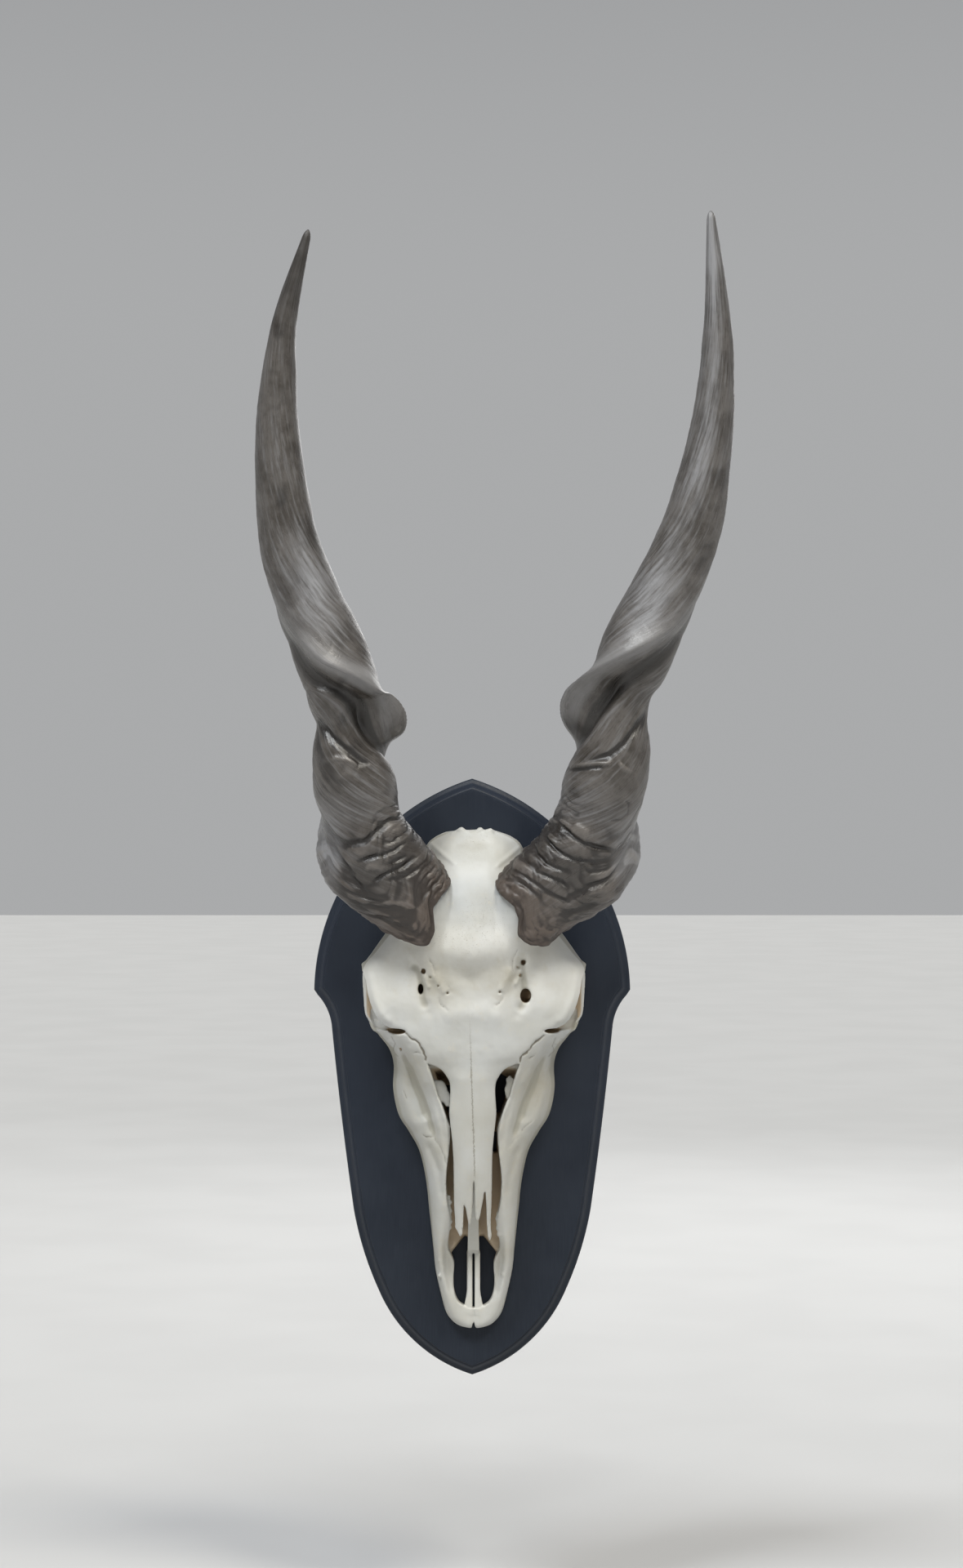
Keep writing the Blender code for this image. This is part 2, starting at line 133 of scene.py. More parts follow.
def settled(obj):
    """Applies an object's modifiers."""
    graph = bpy.context.evaluated_depsgraph_get()
    mesh = bpy.data.meshes.new_from_object(obj.evaluated_get(graph))
    obj.modifiers.clear()
    old, obj.data = obj.data, mesh
    bpy.data.meshes.remove(old)


def points_of(obj):
    """The points of a mesh in millimetres."""
    co = np.empty(len(obj.data.vertices) * 3, np.float32)
    obj.data.vertices.foreach_get("co", co)
    return co.reshape(-1, 3) / MM


def ring_faces(rows, count):
    """Quads between each closed ring of points and the next, as an array of corner numbers."""
    index = np.arange(rows * count).reshape(rows, count)
    after = np.roll(index, -1, 1)
    return np.stack((index[:-1], index[1:], after[1:], after[:-1]), -1).reshape(-1, 4)


# Materials.

class Shader:
    """A material and short calls that add its nodes."""

    def __init__(self, name):
        self.material = bpy.data.materials.new(name)
        self.material.use_nodes = True
        self.nodes = self.material.node_tree.nodes
        self.links = self.material.node_tree.links
        self.surface = self.nodes["Principled BSDF"]

    def put(self, value, socket):
        """Links an output to a socket, or sets the socket to a plain value."""
        if isinstance(value, bpy.types.NodeSocket):
            self.links.new(value, socket)
        elif isinstance(value, tuple) and len(value) == 3 and len(socket.default_value) == 4:
            socket.default_value = (*value, 1.0)
        elif value is not None:
            socket.default_value = value

    def add(self, kind, inputs=(), **settings):
        """A node with its settings and its inputs."""
        node = self.nodes.new(kind)
        for name, value in settings.items():
            setattr(node, name, value)
        for name, value in dict(inputs).items():
            self.put(value, node.inputs[name])
        return node

    def place(self, scale=(1.0, 1.0, 1.0)):
        """Object coordinates in millimetres, stretched by scale."""
        here = self.add("ShaderNodeTexCoord").outputs["Object"]
        return self.stretch(here, tuple(s / MM for s in scale))

    def read(self, name, output="Fac"):
        """A mesh attribute."""
        return self.add("ShaderNodeAttribute", attribute_name=name).outputs[output]

    def stretch(self, where, scale):
        """Places multiplied by a scale along each axis."""
        return self.add("ShaderNodeMapping", {"Vector": where, "Scale": scale}).outputs[0]

    def axes(self, where):
        """The X, Y and Z of places."""
        return self.add("ShaderNodeSeparateXYZ", {"Vector": where}).outputs

    def noise(self, where, scale, detail=3.0, rough=0.55):
        """Cloudy noise from about 0 to 1, whose cells are 1 / scale wide."""
        inputs = {"Vector": where, "Scale": scale, "Detail": detail, "Roughness": rough}
        return self.add("ShaderNodeTexNoise", inputs).outputs["Fac"]

    def math(self, operation, a, b=None, c=None, clamp=False):
        """The sum, product or other operation of up to three values."""
        node = self.add("ShaderNodeMath", operation=operation, use_clamp=clamp)
        for socket, value in zip(node.inputs, (a, b, c)):
            self.put(value, socket)
        return node.outputs[0]

    def ramp(self, value, low, high, out_low=0.0, out_high=1.0):
        """value mapped from low..high to out_low..out_high, held at both ends and eased between them."""
        inputs = {"Value": value, "From Min": low, "From Max": high, "To Min": out_low, "To Max": out_high}
        return self.add("ShaderNodeMapRange", inputs, interpolation_type="SMOOTHSTEP").outputs[0]

    def mix(self, share, a, b, blend="MIX"):
        """Colour a with a share of colour b laid over it."""
        node = self.add("ShaderNodeMix", data_type="RGBA", blend_type=blend)
        for socket, value in zip((node.inputs[0], node.inputs[6], node.inputs[7]), (share, a, b)):
            self.put(value, socket)
        return node.outputs[2]

    def layer(self, tone, colour, value, low, high, share=1.0):
        """The tone with a colour laid over it, from none of it at low to the whole share at high."""
        return self.mix(self.ramp(value, low, high, 0.0, share), tone, colour)

    def bump(self, height, strength, distance, below=None):
        """Relief, where distance is the height in millimetres that a change of 1 stands for."""
        inputs = {"Height": height, "Strength": strength, "Distance": distance * MM, "Normal": below}
        return self.add("ShaderNodeBump", inputs).outputs[0]

    def finish(self, colour, roughness, normal=None, **constants):
        """The material, with its colour, roughness, relief and other constants set."""
        self.put(colour, self.surface.inputs["Base Color"])
        self.put(roughness, self.surface.inputs["Roughness"])
        if normal is not None:
            self.put(normal, self.surface.inputs["Normal"])
        for name, value in constants.items():
            self.put(value, self.surface.inputs[name.replace("_", " ")])
        return self.material


# Camera, floor and lights.

def make_camera():
    """Looks straight along +Y from the photograph's place."""
    data = bpy.data.cameras.new("photo_camera")
    data.sensor_width = SENSOR_MM
    data.lens = SENSOR_MM * CAMERA_DISTANCE / (PIXEL_MM * PHOTO_SIZE[1])
    data.clip_start, data.clip_end = 0.05, 60.0
    camera = bpy.data.objects.new("photo_camera", data)
    bpy.context.scene.collection.objects.link(camera)
    camera.location = CAMERA_AT
    camera.rotation_euler = (math.radians(90), 0, 0)
    bpy.context.scene.camera = camera


FLOOR_Z, FLOOR_REACH = -460.0, 14000.0
# The room's tones at the horizon and overhead, and the rise of the way looked along over which they change.
HORIZON, ZENITH = (0.40, 0.405, 0.41), (0.20, 0.205, 0.215)
SHADE_RISE = (0.14, 0.5)
# Soft suns: name, turn round the mount from its front, height (both in degrees), strength and colour.
SUNS = (
    ("key_left", -38.0, 54.0, 1.5, (0.95, 0.98, 1.0)),
    ("key_right", 34.0, 52.0, 1.3, (1.0, 0.95, 0.84)),
    ("key_top", 0.0, 50.0, 0.85, (0.98, 0.98, 0.96)),
)
SUN_SPREAD = 14.0
# Lamp behind the mount, for looks at its back: place and aim in metres, width in metres and power in watts.
FILL_AT, FILL_AIM = (0.7, 2.6, 1.5), (0.0, 0.0, 0.1)
FILL_WIDTH, FILL_POWER = 2.0, 22.0


def make_floor():
    """A plain pale floor well under the hanging mount."""
    corners = [(x * FLOOR_REACH, y * FLOOR_REACH, FLOOR_Z) for x, y in ((-1, -1), (1, -1), (1, 1), (-1, 1))]
    floor = mesh_object("floor", corners, [(0, 1, 2, 3)])
    paper = Shader("pale_floor")
    drift = paper.noise(paper.place(), 0.004, 2.0)
    tone = paper.mix(paper.ramp(drift, 0.3, 0.7), (0.55, 0.55, 0.55), (0.57, 0.57, 0.57))
    floor.data.materials.append(paper.finish(tone, 0.9, Specular_IOR_Level=0.1))


def make_room():
    """A pale room that is darker overhead."""
    world = bpy.data.worlds.new("pale_room")
    world.use_nodes = True
    nodes, links = world.node_tree.nodes, world.node_tree.links
    upwards = nodes.new("ShaderNodeSeparateXYZ")
    links.new(nodes.new("ShaderNodeTexCoord").outputs["Generated"], upwards.inputs[0])
    share = nodes.new("ShaderNodeMapRange")
    share.interpolation_type = "SMOOTHSTEP"
    share.inputs["From Min"].default_value, share.inputs["From Max"].default_value = SHADE_RISE
    links.new(upwards.outputs["Z"], share.inputs["Value"])
    blend = nodes.new("ShaderNodeMix")
    blend.data_type = "RGBA"
    blend.inputs[6].default_value, blend.inputs[7].default_value = (*HORIZON, 1.0), (*ZENITH, 1.0)
    links.new(share.outputs[0], blend.inputs[0])
    links.new(blend.outputs[2], nodes["Background"].inputs["Color"])
    bpy.context.scene.world = world
    bpy.context.scene.view_settings.view_transform = "Standard"


def make_lamps():
    """Three soft suns in front of the mount and a round lamp behind it."""
    for name, turn, height, strength, colour in SUNS:
        data = bpy.data.lights.new(name, "SUN")
        data.energy, data.color, data.angle = strength, colour, math.radians(SUN_SPREAD)
        lamp = bpy.data.objects.new(name, data)
        bpy.context.scene.collection.objects.link(lamp)
        lamp.rotation_euler = (math.radians(90 - height), 0, math.radians(turn))
    data = bpy.data.lights.new("back_fill", "AREA")
    data.shape, data.size, data.energy = "DISK", FILL_WIDTH, FILL_POWER
    lamp = bpy.data.objects.new("back_fill", data)
    bpy.context.scene.collection.objects.link(lamp)
    lamp.location = FILL_AT
    lamp.rotation_euler = (Vector(FILL_AIM) - lamp.location).to_track_quat("-Z", "Y").to_euler()


# Board.

# Corners of the right half, from the top point to the foot, each with the sagitta and steps of the arc that
# leaves it.
BOARD_HALF = (
    ((0.0, 253.0), 36.0, 60),
    ((134.0, 74.0), 0.0, 1),
    ((131.0, 69.5), -2.5, 16),
    ((119.0, 42.0), 0.85, 24),
    ((100.5, -112.0), 2.2, 16),
    ((80.0, -179.0), 12.2, 40),
    ((0.0, -252.5), 0.0, 0),
)
# Moulding, from the back edge round to the flat front: inset from the outline and thickness reached.
MOULDING = (
    (1.2, 0.0), (0.35, 0.3), (0.0, 1.0), (0.0, 9.2), (0.25, 10.0), (0.9, 10.75), (1.9, 11.2), (3.0, 11.7),
    (4.0, 12.6), (4.9, 13.9), (5.7, 15.5), (6.4, 16.9), (7.2, 17.9), (8.1, 18.45), (8.75, 18.5),
    (8.85, 18.7), (8.95, 19.7), (9.2, 19.97), (9.6, 20.0), (14.0, 20.0),
)
# Angle, in degrees, past which an edge of the board stays sharp.
SHARP_ANGLE = 38.0
# Place across of the skull's middle line.
SKULL_X = 1.5
# Cuts in the back of the board, as in the CAD: the hanger plate's seat and the pocket behind its keyhole,
# the pilot holes for the plate's screws, and the bores and sunk seats of the skull's two screws. The tools
# begin behind the board, at OUTSIDE, except for the pocket's, which begins in the seat.
HANGER_Z = 212.0
SEAT_SIZE, SEAT_DEPTH = (54.6, 18.6), 1.9
POCKET_HALF, POCKET_Z, POCKET_DEPTHS = 7.0, (200.0, 224.0), (1.0, 11.0)
PLATE_SCREWS_Z = (HANGER_Z - 21.0, HANGER_Z + 21.0)
PILOT_RADIUS, PILOT_DEPTH = 1.8, 13.0
SKULL_SCREWS_Z = (88.0, 168.0)
BORE_RADIUS, BORE_DEPTH = 2.7, 30.0
SUNK_RADIUS, SUNK_DEPTH = 5.1, 2.4
OUTSIDE = -5.0


def arc(start, end, sagitta, steps):
    """Points from start up to, but not including, end on an arc that bulges to the left by the sagitta."""
    (x0, z0), (x1, z1) = start, end
    if not sagitta:
        return np.array([start])
    chord = math.hypot(x1 - x0, z1 - z0)
    radius = (chord * chord / 4 + sagitta * sagitta) / (2 * sagitta)
    lean = (sagitta - radius) / chord
    centre_x = (x0 + x1) / 2 - (z1 - z0) * lean
    centre_z = (z0 + z1) / 2 + (x1 - x0) * lean
    first = math.atan2(z0 - centre_z, x0 - centre_x)
    sweep = math.atan2(z1 - centre_z, x1 - centre_x) - first
    sweep = (sweep + math.pi) % (2 * math.pi) - math.pi
    turn = first + sweep * np.arange(steps) / steps
    return np.stack((centre_x + abs(radius) * np.cos(turn), centre_z + abs(radius) * np.sin(turn)), 1)


def board_outline():
    """The right half from the top point to the foot, then its mirror image back up."""
    corners = [row[0] for row in BOARD_HALF]
    half = [arc(start, end, sagitta, steps) for (start, sagitta, steps), end in zip(BOARD_HALF, corners[1:])]
    half = np.concatenate(half + [np.array([corners[-1]])])
    return np.concatenate((half, half[-2:0:-1] * (-1, 1)))


def mitres(outline):
    """For each corner of a clockwise outline, the way inwards that keeps both its edges' insets even."""
    sides = []
    for edge in (outline - np.roll(outline, 1, axis=0), np.roll(outline, -1, axis=0) - outline):
        edge = edge / np.linalg.norm(edge, axis=1)[:, None]
        sides.append(np.stack((edge[:, 1], -edge[:, 0]), 1))
    return (sides[0] + sides[1]) / (1 + (sides[0] * sides[1]).sum(1))[:, None]


def prism(name, outline, near, far):
    """An outline of x and z run between two depths from the wall, closed at both ends."""
    outline = np.array(outline, float)
    count = len(outline)
    rings = [np.stack((outline[:, 0], np.full(count, -depth), outline[:, 1]), 1) for depth in (near, far)]
    faces = ring_faces(2, count).tolist() + [list(range(count))[::-1], list(range(count, 2 * count))]
    return mesh_object(name, np.concatenate(rings), faces, smooth=False)


def rod(name, x, z, radius, far, sides=24):
    """A round cutting tool that comes in from behind the board."""
    turn = 2 * np.pi * np.arange(sides) / sides
    return prism(name, np.stack((x + radius * np.cos(turn), z + radius * np.sin(turn)), 1), OUTSIDE, far)


def upright_bar(length, width):
    """Outline with half-round ends, centred on the hanger."""
    turn = np.linspace(0, np.pi, 25)
    end = np.stack((width / 2 * np.cos(turn), (length - width) / 2 + width / 2 * np.sin(turn)), 1)
    return np.concatenate((end, -end)) + (0, HANGER_Z)


def cut(target, tools):
    """Takes the tools away from the target."""
    for tool in tools:
        step = target.modifiers.new(tool.name, "BOOLEAN")
        step.object, step.operation, step.solver = tool, "DIFFERENCE", "EXACT"
    settled(target)
    for tool in tools:
        bpy.data.objects.remove(tool)


def across(first, count, flip=False):
    """Faces that join each point of a mirrored ring's right half to its mate on the left."""
    right = np.arange(count // 2 + 1)
    left = (count - right) % count
    quads = first + np.stack((right[:-1], right[1:], left[1:], left[:-1]), 1)
    faces = [[corner for k, corner in enumerate(quad) if corner not in quad[:k]] for quad in quads.tolist()]
    return [face[::-1] if flip else face for face in faces]


def moulding_rings(outline):
    """A ring of points for each step of the moulding: the outline, inset along its mitres, at that thickness.

    Insets fold over at the points and the nibs. So a ring's right half is kept right of the middle and
    falling from the top to the foot, each point a little past the one before, and the left half is its
    mirror image.
    """
    inward, count = mitres(outline), len(outline)
    half = np.arange(count // 2 + 1)
    rings = []
    for inset, depth in MOULDING:
        ring = np.insert(outline + inward * inset, 1, -depth, axis=1)
        ring[half, 0] = np.maximum(ring[half, 0], 0.02 * np.minimum(half, half[::-1]))
        falling = np.maximum(ring[half, 2], ring[half[-1], 2])
        ring[half, 2] = np.minimum.accumulate(falling + 0.002 * half) - 0.002 * half
        ring[(count - half) % count] = ring[half] * (-1, 1, 1)
        rings.append(ring)
    return rings


def back_cuts():
    """The tools that cut the hanger's seat and pocket and the screws' holes."""
    half, (low, high) = POCKET_HALF, POCKET_Z
    tools = [prism("seat", upright_bar(*SEAT_SIZE), OUTSIDE, SEAT_DEPTH)]
    tools.append(prism("pocket", [(-half, low), (half, low), (half, high), (-half, high)], *POCKET_DEPTHS))
    tools += [rod("pilot", 0, z, PILOT_RADIUS, PILOT_DEPTH) for z in PLATE_SCREWS_Z]
    tools += [rod("bore", SKULL_X, z, BORE_RADIUS, BORE_DEPTH) for z in SKULL_SCREWS_Z]
    tools += [rod("sink", SKULL_X, z, SUNK_RADIUS, SUNK_DEPTH) for z in SKULL_SCREWS_Z]
    return tools


def make_board():
    """The moulding's profile carried round the outline and closed at both faces, with its back cut."""
    rings = moulding_rings(board_outline())
    rows, count = len(rings), len(rings[0])
    faces = ring_faces(rows, count).tolist() + across(0, count) + across((rows - 1) * count, count, True)
    board = mesh_object("shield_board", np.concatenate(rings), faces)
    board.data.validate()
    cut(board, back_cuts())
    board.data.set_sharp_from_angle(angle=math.radians(SHARP_ANGLE))
    board.data.materials.append(slate_paint())
    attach(board, "root")
    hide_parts("backboard")


def slate_paint():
    """Dark slate satin paint, brushed along the board, painted shade towards the foot, and a little dust."""
    paint = Shader("slate_paint")
    here = paint.place()
    cloud = paint.noise(here, 0.018, 3.0)
    brush = paint.noise(paint.place((1.0, 1.0, 0.05)), 0.9, 3.0)
    dust = paint.noise(here, 1.3, 5.0, 0.7)
    tone = paint.mix(paint.ramp(cloud, 0.3, 0.7), (0.014, 0.020, 0.033), (0.021, 0.028, 0.043))
    # Painted shade: the paint darkens towards the foot of the board.
    tone = paint.layer(tone, (0.006, 0.009, 0.014), paint.axes(here)["Z"], 20, -190, 0.5)
    tone = paint.layer(tone, (0.030, 0.038, 0.052), brush, 0.35, 0.75, 0.25)
    tone = paint.layer(tone, (0.07, 0.075, 0.085), dust, 0.66, 0.8, 0.35)
    gloss = paint.ramp(brush, 0.2, 0.8, 0.42, 0.54)
    relief = paint.bump(brush, 0.25, 0.12, paint.bump(cloud, 0.2, 1.5))
    return paint.finish(tone, gloss, relief, Specular_IOR_Level=0.3)


# Horns.

# Distance outwards from the board's centre line, z and height of the horn's centre line, radius of its
# round body, then the keel's turn (degrees, from the front towards the outside) and the keel's height.
LEFT_HORN = (
    (30, 130, 66, 31, 20, 8), (51, 158, 76, 36, 42, 7), (73, 187, 84, 35.5, 72, 14),
    (88, 218, 91, 31.5, 130, 16.5), (95, 248, 97, 34, 195, 12), (100.5, 275, 101, 29, 235, 14),
    (101.5, 298, 105, 24, 270, 25), (105, 318, 109, 27.5, 291, 14), (106.5, 332, 111, 29.5, 333, 13),
    (112.5, 350, 113.5, 30.5, 365, 11), (120.5, 371, 116.5, 29, 385, 8), (132, 396, 120, 27.5, 402, 5),
    (147.5, 455, 127, 22, 440, 3), (155, 535, 135, 17, 470, 1), (150, 613, 142, 10.5, 490, 0),
    (130, 690, 148, 2.8, 500, 0),
)
RIGHT_HORN = (
    (31, 130, 66, 34, 28, 9), (54, 158, 76, 35, 57, 6.5), (80, 187, 84, 33, 73, 18.5),
    (98.5, 218, 91, 31, 128, 20), (108, 248, 97, 34, 190, 13), (114, 275, 101, 31, 225, 11.5),
    (117, 300, 105, 25.5, 255, 23), (123, 322, 109, 22, 285, 20), (127.5, 338, 111, 27.5, 318, 11.5),
    (133.5, 356, 113.5, 30, 350, 11), (143, 377, 116.5, 29, 378, 8), (154.5, 400, 120, 28, 400, 4.5),
    (176.5, 457, 127, 23, 440, 2), (192.5, 536, 135, 17, 470, 1), (196.5, 613, 142, 11.5, 490, 0),
    (190.5, 705, 148, 3, 500, 0),
)
# Rim, where the sheath ends on the brow: turn, and how far along the centre line it is.
LEFT_RIM = (
    (0, 9), (20, 2), (33, 11), (60, 31), (75, 42), (180, 40), (265, 30), (280, 25), (320, 27), (345, 24),
)
RIGHT_RIM = ((0, 21), (12, 10), (28, 10), (54, 17), (80, 40), (180, 40), (265, 24), (310, 24), (342, 26))
# How sharp the keel is near the base, and the numbers of rings and of points round a ring.
KEEL_SHARPNESS = 7.0
HORN_RINGS, HORN_SIDES = 560, 156
# How evenly the rings are spaced (1 is even, less crowds them towards the base), and the lip's radius.
EVEN_SHARE, LIP = 0.8, 2.4
# Closed end of the throat, from the innermost ring: run past the rim, and share of the width kept.
THROAT_RUNS, THROAT_NARROW = (18.0, 12.0, 6.0), (0.35, 0.75, 0.96)
# Length over which the tip is rounded, and reach of the dark stain up from the rim.
TIP_LENGTH, RIM_STAIN = 7.0, 17.0
# Runs between which the base's soft keel turns into the sharp one, and the keel height that counts as 1.
KEEL_CHANGE, FULL_KEEL = (75, 120), 15
# Radius of the round body on which the grain is drawn.
GRAIN_RADIUS = 25


def horn_frame(stations):
    """Fine rows of the stations, the path's points and run, and the ways forwards and outwards."""
    fine = smooth_through(stations, 600)
    path = fine[:, (0, 2, 1)]
    along = np.gradient(path, axis=0)
    along /= np.linalg.norm(along, axis=1)[:, None]
    forward = np.array((0.0, 1.0, 0.0)) - along * along[:, 1:2]
    forward /= np.linalg.norm(forward, axis=1)[:, None]
    run = np.concatenate(((0,), np.cumsum(np.linalg.norm(np.diff(path, axis=0), axis=1))))
    return fine, path, run, forward, np.cross(forward, along)


def rim_run(rim, turn):
    """The rim's run at each turn: the listed places joined smoothly round the horn."""
    rim_turn, rim_at = np.array(rim, float).T
    circle_turn = np.arange(720) / 2
    even = np.interp(circle_turn, rim_turn, rim_at, period=360)
    bell = hump((np.arange(720) + 360) % 720 - 360, 8.0)
    even = np.real(np.fft.ifft(np.fft.fft(even) * np.fft.fft(bell / bell.sum())))
    return np.interp(np.degrees(turn), circle_turn, even, period=360)


# Creases and folds seen on the front of each horn: spots in the photograph, height added, width in pixels.
LEFT_CREASES = (
    (((391, 884), (406, 904), (416, 913), (429, 923), (441, 934), (456, 939)), -3.0, 4.0),
    (((398, 932), (411, 928), (429, 932), (447, 937), (464, 941)), 1.3, 3.0),
    (((397, 1008), (408, 1026), (423, 1035), (446, 1031), (466, 1015), (479, 1004)), -2.4, 3.6),
    (((438, 1055), (454, 1050), (470, 1046), (484, 1041), (496, 1031)), -2.2, 2.4),
    (((455, 1083), (466, 1074), (481, 1066), (495, 1061), (507, 1050)), -2.4, 2.4),
    (((473, 1077), (488, 1076), (502, 1071), (515, 1063)), -1.8, 2.2),
    (((468, 1058), (484, 1055), (497, 1049)), -1.5, 2.0),
    (((513, 1106), (522, 1095), (531, 1084), (540, 1070)), -1.6, 2.4),
    (((470, 1105), (491, 1107), (513, 1113)), 0.9, 2.4),
    (((395, 1012), (403, 1032), (411, 1048), (422, 1063), (433, 1079), (442, 1094), (455, 1104)), -2.6, 4.5),
    (((428, 1108), (455, 1118), (480, 1130), (505, 1143)), -1.0, 3.0),
    (((445, 1070), (452, 1060), (466, 1064), (476, 1050)), 1.0, 4.0),
)
RIGHT_CREASES = (
    (((700, 938), (714, 936), (732, 934), (752, 935)), 1.5, 2.6),
    (((698, 942), (716, 941), (742, 939)), -1.4, 2.2),
    (((758, 934), (764, 941), (771, 944)), 1.4, 3.0),
    (((793, 872), (779, 893), (764, 912), (746, 925), (722, 932)), -2.4, 4.0),
    (((682, 1003), (690, 1014), (704, 1026), (715, 1033), (730, 1038), (754, 1043)), -2.6, 2.8),
    (((664, 1013), (669, 1029), (679, 1039), (691, 1048), (708, 1054), (728, 1057)), -2.2, 2.4),
    (((652, 1031), (656, 1045), (667, 1057), (680, 1063), (699, 1068)), -2.0, 2.4),
    (((658, 1068), (674, 1075), (686, 1080), (695, 1087)), -2.6, 2.4),
    (((642, 1072), (654, 1082), (665, 1089), (680, 1098), (699, 1106)), -1.8, 2.4),
    (((633, 1079), (648, 1089), (661, 1099)), -1.6, 2.2),
    (((781, 1016), (776, 1036), (767, 1057), (747, 1077), (726, 1086), (708, 1095), (690, 1103)), -2.2, 4.0),
    (((774, 1040), (765, 1062), (747, 1083), (724, 1093), (703, 1103)), 0.9, 3.0),
    (((761, 977), (770, 984), (769, 996), (760, 1004), (749, 1005)), -0.8, 1.8),
    (((689, 1119), (704, 1115), (719, 1111), (734, 1105)), -1.6, 3.0),
    (((700, 1012), (712, 1018), (722, 1022)), 2.2, 9.0),
)


def keel_shape(away):
    """Height of the keel at an angle from its crest: gentle before it, then steep, then a channel."""
    before = np.exp(-np.abs(np.minimum(away, 0) / 0.50) ** 1.4)
    after = np.exp(-(np.maximum(away, 0) / 0.27) ** 1.4) - 0.42 * hump(away - 0.74, 0.36)
    return np.where(away < 0, before, after)


def sheath_relief(seed, level, turn, radius, keel):
    """Height of wrinkles, crust, folds and dents over the smooth sheath, in millimetres.

    level is the ring's run, the same all round, so that folds run round the horn and follow its rim at the
    base. Creases are places where a stretched noise passes through zero, which leaves sharp valleys between
    round folds. Their strength comes and goes with another noise, and they fade out up the horn.
    """
    ring_x, ring_y = np.cos(turn), np.sin(turn)
    near = 1 - ease(level, 60, 150)
    bent = level + 5.0 * noise(seed, ring_x * 1.6, ring_y * 1.6, level / 42)
    bent = bent + 2.2 * noise(seed + 1, ring_x * 4, ring_y * 4, level / 12)
    strong = 0.45 + 0.75 * ease(noise(seed + 30, ring_x * 1.3, ring_y * 1.3, level / 26), -0.6, 0.6)
    folds = np.abs(noise(seed + 2, bent / 6.2, ring_x * 1.5, ring_y * 1.5)) ** 0.7
    fine_folds = np.abs(noise(seed + 3, bent / 2.7, ring_x * 2.6, ring_y * 2.6)) ** 0.8
    relief = near * strong * (2.1 * (folds - 0.55) + 0.9 * (fine_folds - 0.5))
    far = 1 - near
    middle = 1 - ease(level, 190, 290)
    swell = layered(seed + 5, 2, ring_x * 1.1, ring_y * 1.1, level / 34)
    relief += 0.5 * swell + far * 0.14 * layered(seed + 8, 2, bent / 5.5, ring_x * 1.2, ring_y * 1.2)
    away = np.angle(np.exp(1j * (turn - keel)))
    scored = np.abs(layered(seed + 11, 2, away * 10.5, level / 26 + 0 * away)) ** 0.8
    relief += far * (0.10 + 0.34 * middle) * (scored - 0.5)
    crust = np.abs(layered(seed + 15, 3, ring_x * 5.5, ring_y * 5.5, level / 6.0))
    relief += (1 - ease(level, 6, 30)) * (1.3 * crust - 0.45)
    crest = hump(away, 0.5) * (1 - ease(level, 60, 130))
    relief += crest * (1.1 * np.abs(layered(seed + 19, 3, ring_x * 7, ring_y * 7, level / 6.5)) - 0.4)
    return relief * ease(radius, 2.0, 14.0)


def creases_height(creases, x, height, z, facing):
    """Height that the listed creases add where a horn's surface shows them: each a bell across its line."""
    span = PIXEL_MM * (1 - height / CAMERA_DISTANCE)
    px = PHOTO_SIZE[0] / 2 + (x - CAMERA_AT[0] / MM) / span
    py = PHOTO_SIZE[1] / 2 - (z - CAMERA_AT[2] / MM) / span
    total = np.zeros_like(x)
    for spots, depth, width in creases:
        away, share = polyline_distance(px, py, spots)
        total += depth * hump(away, width) * (0.3 + 0.7 * ease(share, 0.0, 0.2) * (1 - ease(share, 0.8, 1.0)))
    return total * ease(facing, 0.12, 0.45)


def horn_rings(start, length):
    """Run, inset, narrowing and level of the rings, from the closed throat round the lip and out to the tip.

    start is the rim's run at each turn. The lip is a half circle, and the rings behind the rim even out up
    the horn.
    """
    share = np.linspace(0, 1, HORN_RINGS)[:, None]
    eased = EVEN_SHARE * share + (1 - EVEN_SHARE) * share**2
    outside = start + (length - start) * eased + LIP * (1 - share) ** 40
    bend = np.radians(np.arange(180, 0, -20))[:, None]
    lip = start + LIP * (1 - np.sin(bend))
    lip_inset = LIP * (1 - np.cos(bend)) + (bend > 3.1)
    throat = np.array(THROAT_RUNS)[:, None]
    run = np.concatenate((start + throat, lip, outside))
    inset = np.concatenate((np.full_like(throat, 2 * LIP + 1.5), lip_inset, 0 * share))
    narrow = np.concatenate((np.array(THROAT_NARROW)[:, None], np.ones((len(bend) + HORN_RINGS, 1))))
    level = np.concatenate((np.zeros((len(throat) + len(bend), 1)), eased * length))
    return run, inset, narrow, level


def horn_painted_light(run, outwards, side):
    """Painted light on the horn: painted highlight above zero, and painted shade below it.

    The painted highlight is bells and slopes along the run, times a streak along the part that faces the
    viewer. The painted shade darkens the left horn's tip. Near the base the outside is paler and the rest is
    darker, a painted shade in the folds.
    """
    # The streak follows the side that faces the viewer, where the painted highlight lies.
    streak = 0.35 + 0.75 * hump(outwards[0] + 0.3, 0.42) * ease(outwards[1], 0.0, 0.5)
    painted_highlight = 0.68 * hump(run - 305, 50)
    # Painted shade: the left horn darkens towards its tip; the right horn gets more painted highlight
    # instead.
    dark = 0.7 * ease(run, 470, 570)
    if side > 0:
        painted_highlight = painted_highlight + 0.5 * ease(run, 330, 420) + 0.75 * ease(run, 520, 600)
        dark = 0.0
    outer = ease(outwards[0], 0.4, 0.85)
    # Near the base: a lighter band, painted shade in the folds on the inside, and a paler outside.
    base = 0.3 * hump(run - 125, 24) - 0.8 * hump(run - 76, 22) * (1 - outer)
    base += 0.55 * outer * (1 - ease(run, 95, 140))
    return painted_highlight * streak + base - dark


